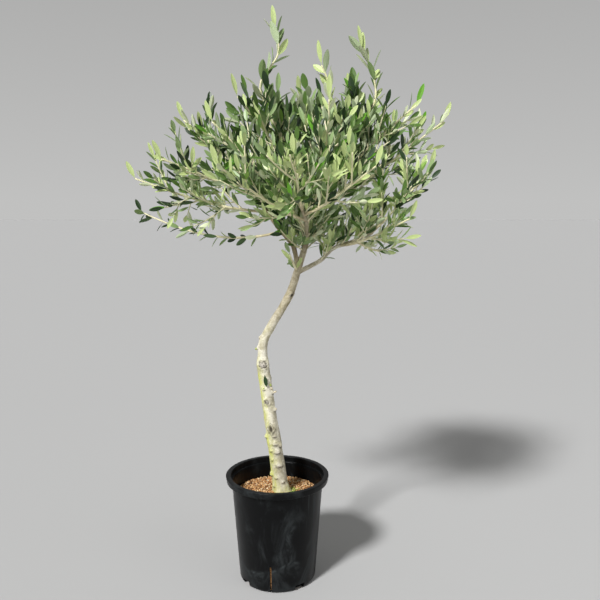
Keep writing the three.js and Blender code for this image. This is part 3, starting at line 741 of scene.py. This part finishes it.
def chip_shape():
    golden = (1 + 5 ** 0.5) / 2
    corners = []
    for a in (-1, 1):
        for b in (-golden, golden):
            corners += [(0, a, b), (a, b, 0), (b, 0, a)]
    corners = np.array(corners) / np.linalg.norm((1, golden))
    faces = []
    for i, j, k in combinations(range(len(corners)), 3):
        trio = corners[[i, j, k]]
        if np.linalg.norm(trio - np.roll(trio, 1, axis=0), axis=1).max() < 1.1:
            out = np.cross(trio[1] - trio[0], trio[2] - trio[0]) @ trio[0]
            faces.append((i, j, k) if out > 0 else (i, k, j))
    return corners, np.array(faces)


def random_turns(random, count):
    quaternion = random.normal(size=(count, 4))
    quaternion /= np.linalg.norm(quaternion, axis=1)[:, None]
    w, x, y, z = quaternion.T
    return np.stack([
        1 - 2 * (y * y + z * z), 2 * (x * y - z * w), 2 * (x * z + y * w),
        2 * (x * y + z * w), 1 - 2 * (x * x + z * z), 2 * (y * z - x * w),
        2 * (x * z - y * w), 2 * (y * z + x * w), 1 - 2 * (x * x + y * y),
    ], axis=1).reshape(-1, 3, 3)


def scatter_chips(heap, random, places, lengths, slots, flat=0.35):
    corners, faces = chip_shape()
    for place, length, turn, slot in zip(places, lengths, random_turns(random, len(places)), slots):
        size = np.array((1, random.uniform(0.4, 0.75), random.uniform(flat * 0.6, flat * 1.4)))
        rough = corners * (1 + random.uniform(-0.22, 0.22, (12, 1)))
        heap.add(place + (rough * size * length / 2) @ turn.T, [faces], [slot])


def build_soil_chips():
    random = np.random.default_rng(CHIP_SEED)
    heap = Heap()
    edge = inner_radius(SOIL_TOP - SOIL_EDGE_DROP) - CHIP_EDGE
    radius = edge * np.sqrt(random.uniform(0, 1, CHIP_COUNT))
    turn = random.uniform(0, 2 * math.pi, CHIP_COUNT)
    height = soil_height(radius) + random.uniform(*CHIP_RISE, CHIP_COUNT)
    places = np.stack([radius * np.cos(turn), radius * np.sin(turn), height], axis=1)
    lengths = random.uniform(*CHIP_LENGTHS, CHIP_COUNT) * random.uniform(0.6, 1, CHIP_COUNT)
    slots = random.choice(5, CHIP_COUNT, p=(0.30, 0.32, 0.15, 0.12, 0.11))
    scatter_chips(heap, random, places, lengths, slots)
    for i in range(SLIT_CHIP_COUNT):
        out, aside = out_and_aside(slit_turn(i))
        height = random.uniform(SLIT_CHIP_LOWEST, SLIT_TOP)
        place = out * (inner_radius(height) - SLIT_CHIP_DEPTH) + UP * height
        place += aside * random.uniform(-SLIT_CHIP_ASIDE, SLIT_CHIP_ASIDE)
        scatter_chips(heap, random, [place], [random.uniform(*SLIT_CHIP_LENGTHS)], [random.integers(0, 4)])
    colors = {
        "chip_orange": (0.55, 0.27, 0.10), "chip_tan": (0.70, 0.46, 0.23),
        "chip_brown": (0.30, 0.14, 0.06), "chip_umber": (0.09, 0.045, 0.024),
        "chip_pale": (0.80, 0.66, 0.44),
    }
    materials = [new_material(name, color, 0.9, 0.15) for name, color in colors.items()]
    chips = heap.build("potting_mix_chips", materials, 40)
    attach(chips, "root")


def build_moss():
    random = np.random.default_rng(MOSS_SEED)
    heap = Heap()
    x, y = (np.array(MOSS_PLACE) + random.normal(0, 1, (MOSS_COUNT, 2)) * MOSS_SPREAD).T
    height = soil_height(np.hypot(x, y)) + random.uniform(0, MOSS_RISE, MOSS_COUNT)
    lengths = random.uniform(*MOSS_LENGTHS, MOSS_COUNT)
    slots = random.integers(0, 2, MOSS_COUNT)
    scatter_chips(heap, random, np.stack([x, y, height], axis=1), lengths, slots, 0.6)
    moss = heap.build("moss", [new_material("moss_green", (0.20, 0.42, 0.05), 0.9, 0.1),
                               new_material("moss_pale", (0.50, 0.56, 0.16), 0.9, 0.1)])
    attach(moss, "root")


# Trunk: bark relief, knots, pruning scars and a lobed foot
def trunk_radius(height):
    heights, radii = zip(*TRUNK_GIRTH)
    return np.interp(height, heights, radii) + FLARE_RADIUS * np.exp((SOIL_TOP - height) / FLARE_HEIGHT)


# How far a knot stands out at a place, how much scar colour and painted shade darken it there, and how
# woody it is there
def knot_relief(place, facing, girth):
    swell = scar_and_shade = heart = 0.0
    uneven = 1 + 0.14 * noise.noise(place * 170)
    for kind, height, turn, size, *narrowness in KNOTS:
        up = (place.z - height) / size
        if abs(up) > KNOT_REACH:
            continue
        across = (facing - math.radians(turn) + math.pi) % (2 * math.pi) - math.pi
        aside = across * girth / size
        reach = math.hypot(aside, up) * uneven
        if kind == "scar_and_shade":
            # A pruning scar's ring groove and cracks are darkened: scar colour, with painted shade in the
            # creases
            groove = bell(reach - 0.60, 0.17)
            swell += size * (0.40 * math.exp(-(reach / 1.15) ** 4) - 0.20 * groove)
            cracks = smoothstep(0.05, 0.25, noise.noise(place * 480)) * math.exp(-(reach / 0.55) ** 4)
            broken = smoothstep(-0.45, 0.15, noise.noise(place * 260))
            scar_and_shade = max(scar_and_shade, 0.75 * groove * broken, 0.9 * cracks)
            heart = max(heart, math.exp(-(reach / 0.60) ** 4))
        elif kind == "hole":
            inside = math.hypot(aside * narrowness[0], up * 0.66) * uneven
            # The inside of a hole and a band round its lip are darkened: painted shade in the hollow
            dark_and_shaded = math.exp(-(inside / 0.50) ** 4)
            lip = abs(aside) / 0.66 + abs(up) / 1.10 + 0.5 * noise.noise(place * 240)
            swell += size * (0.30 * math.exp(-reach ** 3) + 0.10 * bell(lip - 1, 0.22) - 0.24 * dark_and_shaded)
            scar_and_shade = max(scar_and_shade, 0.95 * dark_and_shaded, 0.60 * bell(lip - 1.25, 0.16))
            heart = max(heart, 0.9 * bell(aside + 0.60, 0.26) * bell(up, 0.50))
        elif kind == "eye":
            # Below an eye's bulge a half ring and a curved slit are darkened: painted shade under the bulge
            ring = bell(reach - 0.82, 0.17) * smoothstep(0.35, -0.35, up)
            slit = bell(up + 0.45 - 0.35 * aside ** 2, 0.16) * bell(aside, 0.62)
            swell += size * (0.38 * math.exp(-0.9 * aside ** 2 - 1.6 * up ** 2) - 0.16 * slit - 0.08 * ring)
            scar_and_shade = max(scar_and_shade, 0.85 * slit, 0.55 * ring)
            heart = max(heart, 0.6 * math.exp(-(reach / 0.45) ** 2))
        else:
            swell += size * 0.60 * math.exp(-1.5 * reach ** 2)
            # A crescent below a wart is darkened: painted shadow under the bump
            scar_and_shade = max(scar_and_shade, 0.70 * bell(reach - 0.80, 0.28) * smoothstep(0.1, -0.6, up))
    return swell, scar_and_shade, heart


def build_trunk(curve, material):
    heap = Heap()
    start = next(s for s in np.linspace(0, 0.2, 400) if curve.point(s)[2] >= TRUNK_FOOT)
    count = int(curve.length * (1 - start) / TRUNK_STEP)
    points = curve.stretch(start, 1, count)
    base = trunk_radius(points[:, 2])
    _, _, outward = tube(points, base, TRUNK_SIDES)
    radii = np.zeros((count, TRUNK_SIDES))
    marks = np.zeros((count, TRUNK_SIDES, 4))
    for i, (point, girth) in enumerate(zip(points, base)):
        for j, out in enumerate(outward[i]):
            place = Vector(point + out * girth)
            facing = math.atan2(out[0], -out[1])
            swell, scar_and_shade, heart = knot_relief(place, facing, girth)
            lobes = 0.3 * math.cos(4 * facing + 1.1) * FLARE_RADIUS
            lobes *= math.exp((SOIL_TOP - place.z) / FLARE_HEIGHT)
            radii[i, j] = girth + swell + lobes
            for fineness, height in BARK_RELIEF:
                radii[i, j] += noise.noise(Vector(np.multiply(place, fineness))) * height
            shade = noise.noise(place * 30) * 0.35 + noise.noise(place * 110) * 0.25
            left = smoothstep(-0.30, 0.95, -out[0]) * smoothstep(0.58, 0.44, point[2])
            foot = smoothstep(0.245, 0.212, point[2]) * 0.6
            brown = smoothstep(0.55, 0.68, point[2]) * (BROWNING["middle"] + shade * 0.5)
            marks[i, j] = scar_and_shade, np.clip(max(left, foot) + shade * 0.6, 0, 1), heart, brown
    corners, faces, _ = tube(points, radii, TRUNK_SIDES)
    heap.add(corners, faces)
    trunk = heap.build("trunk_bark", [material])
    for name, values in zip(("scar_and_shade", "algae", "heartwood", "brown"), marks.reshape(-1, 4).T):
        set_attribute(trunk, name, values)
    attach(trunk, "root")
    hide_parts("trunk")


def build_stubs(curve):
    heap = Heap()
    for height, turn, length, radius, rise, slot in STUBS:
        share = next(s for s in np.linspace(0, 1, 1600) if curve.point(s)[2] >= height)
        out, _ = out_and_aside(math.radians(turn))
        start = curve.point(share) + out * (float(trunk_radius(height)) - STUB_ROOT)
        direction = unit(out + UP * rise)
        steps = np.linspace(0, length + STUB_ROOT, len(STUB_SWELLS))
        points = start + direction * steps[:, None]
        rough = [[1 + noise.noise(Vector(p + direction * k) * 700) * 0.35 for k in range(STUB_SIDES)]
                 for p in points]
        swells = np.array(STUB_SWELLS)[:, None]
        corners, faces, _ = tube(points, radius * swells * np.array(rough), STUB_SIDES)
        heap.add(corners, faces, [slot] * 3)
    stubs = heap.build("trunk_stubs", [leaf_surface("stub_wood", (0.62, 0.55, 0.40), 0.8, 0.5),
                                       leaf_surface("bud_green", (0.42, 0.50, 0.14), 0.7, 0.4)])
    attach(stubs, "root")


# Boughs: tapering limbs with a swollen collar where they leave their parent
limbs = {}


def add_bough(heap, browns, name, limb, at, radii, through):
    curve = curve_through([limbs[limb][0].point(at), *through])
    count = max(8, int(curve.length / BOUGH_STEP))
    points = curve.stretch(0, 1, count)
    along = np.linspace(0, 1, count)
    base = between(*radii, along)
    if name != "middle":
        base *= 1 + COLLAR_SWELL * np.exp(-along * curve.length / COLLAR_LENGTH)
    _, _, outward = tube(points, base, BOUGH_SIDES)
    places = points[:, None] + outward * base[:, None, None]
    relief = np.array([[noise.noise(Vector(p) * 90) * 0.10 + noise.noise(Vector(p) * 320) * 0.07
                        for p in ring] for ring in places])
    corners, faces, _ = tube(points, base[:, None] * (1 + relief), BOUGH_SIDES)
    heap.add(corners, faces)
    away = smoothstep(0, BROWNING_REACH, along * curve.length)
    browns.append(np.repeat(between(BROWNING["middle"], BROWNING[name], away), BOUGH_SIDES))
    limbs[name] = (curve, max(radii), curve.stretch(0, 1, LIMB_SAMPLES))


# Shoots: the source's rule, carried to finer twigs and true leaves
def shoot_curve(own):
    start = limbs[own["limb"]][0].point(own["at"])
    end = own["tip"]
    if own["through"]:
        return curve_through([start, *own["through"], end])
    length = np.linalg.norm(end - start)
    control = (start + end) / 2
    control[0] += 2 * own["sway"] * length
    control[2] -= 2 * own["sag"] * length
    return curve_bent(start, control, end)


def branch_direction(curve, share, turn, spread, lift):
    tangent = curve.tangent(share)
    right = unit(np.cross(tangent, UP if abs(tangent[2]) < 0.9 else FRONT))
    over = np.cross(right, tangent)
    around = math.radians(turn)
    away = math.radians(spread)
    aside = right * math.cos(around) + over * math.sin(around)
    return unit(tangent * math.cos(away) + aside * math.sin(away) + UP * lift)


def square_to(direction, arrow):
    return arrow - direction * (arrow @ direction)


# The upper face looks towards the twig's tip, or to the front on a leaf going straight on
def leaf_face(tangent, direction, roll):
    face = square_to(direction, tangent)
    if np.linalg.norm(face) < NEARLY_STRAIGHT:
        face = square_to(direction, FRONT)
    face = unit(face)
    turn = math.radians(roll)
    return face * math.cos(turn) + np.cross(direction, face) * math.sin(turn)


def gap_to_line(points, line):
    start, step = line[:-1], np.diff(line, axis=0)
    offset = points[:, None] - start[None]
    share = np.clip((offset * step).sum(-1) / (step * step).sum(-1), 0, 1)
    return np.linalg.norm(offset - share[..., None] * step, axis=-1).min(axis=1)


tips = np.array([own["tip"] for own in SHOOTS.values()])
crown_low, crown_high = tips.min(axis=0) - TIP_MARGIN, tips.max(axis=0) + TIP_MARGIN
crown_low[2] = TRUNK_LINE[-1][2]
crown_centre, crown_half = (crown_low + crown_high) / 2, (crown_high - crown_low) / 2


# Within the source's reach: no further out than the shoot's tip, and clear of limbs
def within_reach(points, own):
    if ((points - own["tip"]) @ own["heading"]).max() > TIP_MARGIN:
        return False
    if (points < crown_low).any() or (points > crown_high).any():
        return False
    return all(gap_to_line(points, line).min() > radius + LIMB_MARGIN
               for _, radius, line in limbs.values())


def outsideness(place):
    outer = smoothstep(*CROWN_OUTSIDE, np.linalg.norm((place - crown_centre) / crown_half))
    return float(max(outer, smoothstep(*LEAF_RISE, place[2])))


# Paler kinds at the crown's outside and top, the deepest green ones inside it: painted light and painted
# shade
def spray_kind(chance, place):
    outside = outsideness(place)
    weights = {name: between(*often, outside) for name, (_, _, *often) in LEAF_KINDS.items()}
    pick = chance.draw() * sum(weights.values())
    for name, weight in weights.items():
        pick -= weight
        if pick <= 0:
            return name
    return "mid"


class Grower:
    """Grows one shoot: its stem, twigs and leaves"""

    def __init__(self, own, seed):
        self.own = own
        self.chance = Chance(seed)
        self.tubes = []
        self.leaves = []

    def leaf(self, curve, share, direction, kind, size=1.0):
        chance = self.chance
        root = curve.point(share)
        scale = self.own["size"] ** 0.5 * size
        scale *= between(LOW_LEAF, HIGH_LEAF, smoothstep(*LEAF_RISE, root[2]))
        length = LEAF_LENGTH * scale * (1 + chance.scatter(LENGTH_SCATTER))
        width = LEAF_WIDTH * scale * self.own["breadth"] * (1 + chance.scatter(WIDTH_SCATTER))
        face = leaf_face(curve.tangent(share), direction, chance.scatter(LEAF_ROLL))
        side = np.cross(direction, face)
        samples = root + direction * length * np.array([[0.4], [0.6], [0.6], [1]])
        samples[1] += side * width / 2
        samples[2] -= side * width / 2
        if not within_reach(samples, self.own):
            return False
        if chance.draw() < self.own["strays"]:
            kind = spray_kind(chance, root)
        self.leaves.append((kind, root, direction, face, length, width, chance.draw(), chance.draw()))
        return True

    def try_leaf(self, curve, share, turn, kind):
        for tilt in RETRY_TURNS:
            spread = LEAF_SPREAD + self.chance.scatter(SPREAD_SCATTER)
            lift = self.own["lift"] + self.chance.scatter(LIFT_SCATTER)
            direction = branch_direction(curve, share, turn + tilt, spread, lift)
            if self.leaf(curve, share, direction, kind):
                return

    def twig(self, curve, share, turn, level):
        chance = self.chance
        for attempt, tilt in enumerate(RETRY_TURNS):
            lift = self.own["twig_lift"] + chance.scatter(TWIG_LIFT_SCATTER)
            direction = branch_direction(curve, share, turn + 2 * tilt, BRANCH_SPREAD, lift)
            length = BRANCH_LENGTH[level] * self.own["size"] * (1 - BRANCH_SHORTENING * share)
            length *= (1 + chance.scatter(BRANCH_SCATTER)) * (1 - RETRY_SHORTENING * attempt)
            start = curve.point(share)
            end = start + direction * length + UP * length * BRANCH_LIFT
            twig = curve_bent(start, start + direction * length / 2, end, 10)
            if within_reach(twig.points[3:], self.own):
                self.dress(twig, level + 1, spray_kind(chance, end), share < BUSHY_ZONE)
                return

    def dress(self, curve, level, kind, bushy):
        chance = self.chance
        size = self.own["size"]
        spacing = (NODE_SPACING[level] if bushy or level else SPARSE_SPACING) * size
        along = FIRST_NODE[level] * size + (0 if level else self.own["bare"])
        turn = chance.draw() * 360
        tally = 0
        nodes = []
        while along < curve.length - spacing * 0.4:
            share = along / curve.length
            nodes.append(share)
            every = BRANCH_EVERY[level] if bushy else 0
            zone = BRANCH_ZONE[level] if level else self.own["zone"]
            branches = every and tally % every == every - 1 and share < zone
            twig_side = (tally // every) % 2 if branches else -1
            for side in (0, 1):
                side_turn = turn + side * 180 + chance.scatter(TURN_SCATTER)
                if side == twig_side:
                    self.twig(curve, share, side_turn, level)
                elif bushy and level == 0 and share < OLD_WOOD and chance.draw() > OLD_WOOD_LEAVES:
                    continue
                else:
                    self.try_leaf(curve, share, side_turn, kind)
            turn += NODE_TURN
            tally += 1
            along += spacing * (1 + chance.scatter(NODE_SCATTER))
        if level == 0:
            self.own_tip_leaf(curve, self.own["tip_kind"] or kind)
        else:
            self.leaf(curve, 1, curve.tangent(1), kind)
        self.tubes.append((curve, level, nodes))

    def own_tip_leaf(self, curve, kind):
        onward = self.own["tip"] - curve.point(1)
        direction = unit(onward)
        face = leaf_face(direction, direction, self.chance.scatter(LEAF_ROLL))
        width = LEAF_WIDTH * TIP_LEAF_BREADTH * self.own["size"] ** 0.5
        self.leaves.append((kind, curve.point(1), direction, face, np.linalg.norm(onward), width,
                            0.3, 0.5))


def grow(own, seed):
    curve = shoot_curve(own)
    tip = own["tip"]
    length = TIP_LEAF_LENGTH * own["size"] * between(LOW_TIP_LEAF, 1, smoothstep(*LEAF_RISE, tip[2]))
    last = 1 - length / curve.length
    points = curve.stretch(0, last, STEM_SAMPLES)
    upright = unit(curve.tangent(last) + UP * own["tip_rise"])
    bend = np.linspace(0, 1, len(points))[:, None] ** TIP_BEND
    stem = Curve(points + (tip - upright * length - points[-1]) * bend)
    heading = unit(tip - curve.point(0))
    grower = Grower({**own, "heading": heading, "bare": own["entry"] * curve.length}, seed)
    grower.dress(stem, 0, own["kind"], not own["sparse"])
    return grower


# Leafy twigs straight on a main bough
def grow_on_bough(name, first, seed):
    curve = limbs[name][0]
    heading = curve.tangent(1)
    tip = curve.point(1) + heading * BRANCH_LENGTH[0]
    grower = Grower({**USUAL, "size": BOUGH_TWIG_SIZE, "tip": tip, "heading": heading}, seed)
    for tally, along in enumerate(np.arange(first * curve.length, curve.length, BOUGH_TWIG_SPACING)):
        upward = 90 + tally * BOUGH_TWIG_TURN % BOUGH_TWIG_ARC - BOUGH_TWIG_ARC / 2
        grower.twig(curve, along / curve.length, upward, 0)
    return grower


def stem_tube(curve, level, nodes, size):
    count = max(6, int(curve.length / STEM_STEP))
    shares = np.linspace(0, 1, count)
    radii = between(*STEM_RADII[level], shares) * size ** 0.5
    for node in nodes:
        radii *= 1 + NODE_SWELL * np.exp(-((shares - node) * curve.length / NODE_WIDTH) ** 2)
    return tube(curve.stretch(0, 1, count), radii, TUBE_SIDES[level])[:2]


# Leaves: a short stalk and a folded, slightly curled blade with a blunt tip
LEAF_STATIONS = np.array((0, 0.07, 0.12, 0.22, 0.38, 0.56, 0.73, 0.86, 0.95, 1.0))
STALK_END = 0.07
STALK_HALF_WIDTH = 0.0006
BLADE_WIDEST = 0.50
BLADE_THICKNESS = 0.00032
FOLD = 0.16
FOLD_SCATTER = 0.22
CURL = 0.16
UPWARD_SHARE = 0.25


def leaf_outline(stations):
    blade = np.clip((stations - STALK_END) / (1 - STALK_END), 0, 1)
    opening = np.sin(np.pi / 2 * np.clip(blade / BLADE_WIDEST, 0, 1)) ** 0.9
    closing = (1 - np.clip((blade - BLADE_WIDEST) / (1 - BLADE_WIDEST), 0, 1) ** 2.1) ** 0.72
    return opening * closing


def add_leaves(heap, leaves):
    _, roots, directions, faces, lengths, widths, curls, folds = map(np.array, zip(*leaves))
    sides = np.cross(directions, faces)
    half = np.maximum(leaf_outline(LEAF_STATIONS) * widths[:, None] / 2, STALK_HALF_WIDTH * 0.7)
    half[:, :2] = STALK_HALF_WIDTH
    half[:, -1] = STALK_HALF_WIDTH * 0.35
    thick = np.full(len(LEAF_STATIONS), BLADE_THICKNESS)
    thick[:2] = STALK_HALF_WIDTH
    curl = (curls - UPWARD_SHARE) * CURL
    rise = -curl[:, None] * lengths[:, None] * LEAF_STATIONS ** 2
    middle = (roots[:, None] + directions[:, None] * (lengths[:, None] * LEAF_STATIONS)[..., None]
              + faces[:, None] * rise[..., None])
    lift = half * (FOLD + FOLD_SCATTER * folds[:, None])
    edge = faces[:, None] * lift[..., None]
    aside = sides[:, None] * half[..., None]
    above = faces[:, None] * (thick / 2)[None, :, None]
    corners = [middle - aside + edge, middle - above * 1.6, middle + aside + edge, middle + above]
    corners = np.stack(corners, axis=2)
    walls, *caps = tube_faces(len(LEAF_STATIONS), 4)
    walls = walls.reshape(-1, 4, 4)
    first = np.arange(len(leaves))[:, None, None] * len(LEAF_STATIONS) * 4
    groups = (walls[:, 2:], walls[:, :2], *caps)
    faces = [(group.reshape(-1, 4) + first).reshape(-1, 4) for group in groups]
    heap.add(corners.reshape(-1, 3), faces, (0, 1, 1, 1))


def build_plant():
    trunk_curve = curve_through(TRUNK_LINE)
    limbs["trunk"] = (trunk_curve, TRUNK_REACH, trunk_curve.stretch(0, 1, LIMB_SAMPLES))
    bark = bark_surface()
    build_trunk(trunk_curve, bark)
    build_stubs(trunk_curve)
    heap = Heap()
    browns = []
    for name, bough in MAIN_BOUGHS.items():
        add_bough(heap, browns, name, *bough)
    boughs = heap.build("boughs_bark", [bark])
    set_attribute(boughs, "brown", np.concatenate(browns))
    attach(boughs, "root")
    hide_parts(*[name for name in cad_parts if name.startswith("bough_")])

    growers = [grow(own, index + 1) for index, own in enumerate(SHOOTS.values())]
    seed = len(SHOOTS) + 1
    for index, (name, first) in enumerate(BOUGH_TWIGS.items()):
        growers.append(grow_on_bough(name, first, seed + index))
    hang = TRUNK_LEAF_BOTTOM - TRUNK_LEAF_TOP
    growers[0].leaves.append(("dark_and_shaded", TRUNK_LEAF_TOP, unit(hang), square_to(unit(hang), FRONT),
                              np.linalg.norm(hang), TRUNK_LEAF_WIDTH, 0.2, 0.1))
    build_stems(growers)
    build_leaves(growers)


def build_stems(growers):
    for level, (name, tones) in enumerate(STEM_TONES.items()):
        heap = Heap()
        for grower in growers:
            for curve, own_level, nodes in grower.tubes:
                if own_level == level:
                    corners, (walls, *caps) = stem_tube(curve, level, nodes, grower.own["size"])
                    rings = walls.reshape(-1, TUBE_SIDES[level], 4)
                    last = len(tones) - 1
                    slots = [min(int(ring / len(rings) * 2 * len(tones)), last)
                             for ring in range(len(rings))]
                    heap.add(corners, [*caps, *rings], [last, last, *slots])
        if level == 1:
            points = Curve(BARE_TWIG).stretch(0, 1, LIMB_SAMPLES)
            radii = np.linspace(*BARE_TWIG_RADII, LIMB_SAMPLES)
            heap.add(*tube(points, radii, TUBE_SIDES[level])[:2])
        surfaces = [leaf_surface(f"{name}_{i}", tone, 0.6, 0.35) for i, tone in enumerate(tones)]
        stems = heap.build(name, surfaces)
        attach(stems, "root")
        if level == 0:
            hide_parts(*[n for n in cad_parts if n.endswith("_bough")])


def build_leaves(growers):
    for kind, (above, below, _, _) in LEAF_KINDS.items():
        leaves = [leaf for grower in growers for leaf in grower.leaves if leaf[0] == kind]
        heap = Heap()
        add_leaves(heap, leaves)
        piece = heap.build(f"leaves_{kind}", [
            leaf_surface(f"leaf_{kind}_above", above, 0.40, 0.10),
            leaf_surface(f"leaf_{kind}_below", below, 0.62, 0.14),
        ], smooth=False)
        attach(piece, "root")
        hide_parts(*[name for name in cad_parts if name.endswith("_foliage")])


# Stage, light and camera
def build_stage():
    bpy.ops.mesh.primitive_plane_add(size=FLOOR_SIZE, location=(0, 0, -FLOOR_DROP))
    floor = bpy.context.object
    floor.name = "floor"
    floor.data.materials.append(new_material("floor_pale", FLOOR_COLOR, 0.75, 0.1))

    world = bpy.data.worlds.new("studio")
    world.use_nodes = True
    nodes = Nodes(world, "Background")
    height = nodes.add("SeparateXYZ", "Z", {"Vector": nodes.add("TexCoord", "Generated", {})})
    ends = {"To Min": HORIZON_GLOW, "To Max": ZENITH_GLOW}
    nodes.drive("Strength", nodes.add("MapRange", "Result", {"Value": height, **ends}))
    nodes.drive("Color", (*SKY_COLOR, 1))
    bpy.context.scene.world = world
    bpy.context.scene.view_settings.view_transform = "Standard"


def add_light(name, kind, place, target, **settings):
    light = bpy.data.lights.new(name, kind)
    for setting, value in settings.items():
        setattr(light, setting, value)
    aim = Vector(target) - Vector(place)
    new_object(name, light, place, aim.to_track_quat("-Z", "Y").to_euler())


def build_lights():
    add_light("key", "SUN", KEY_PLACE, (0, 0, 0.5), energy=KEY_POWER, angle=math.radians(KEY_ANGLE))
    add_light("fill", "AREA", FILL_PLACE, (0, 0, 0.7), energy=FILL_POWER, size=FILL_SIZE)


def build_camera():
    data = bpy.data.cameras.new("camera")
    data.lens = CAMERA_LENS
    data.sensor_width = CAMERA_SENSOR
    data.sensor_fit = "HORIZONTAL"
    turn = (math.pi / 2 - CAMERA_PITCH, 0, 0)
    bpy.context.scene.camera = new_object("camera", data, CAMERA_PLACE, turn)


build_camera()
build_stage()
build_lights()
build_pot()
build_soil_body()
build_soil_chips()
build_moss()
build_plant()
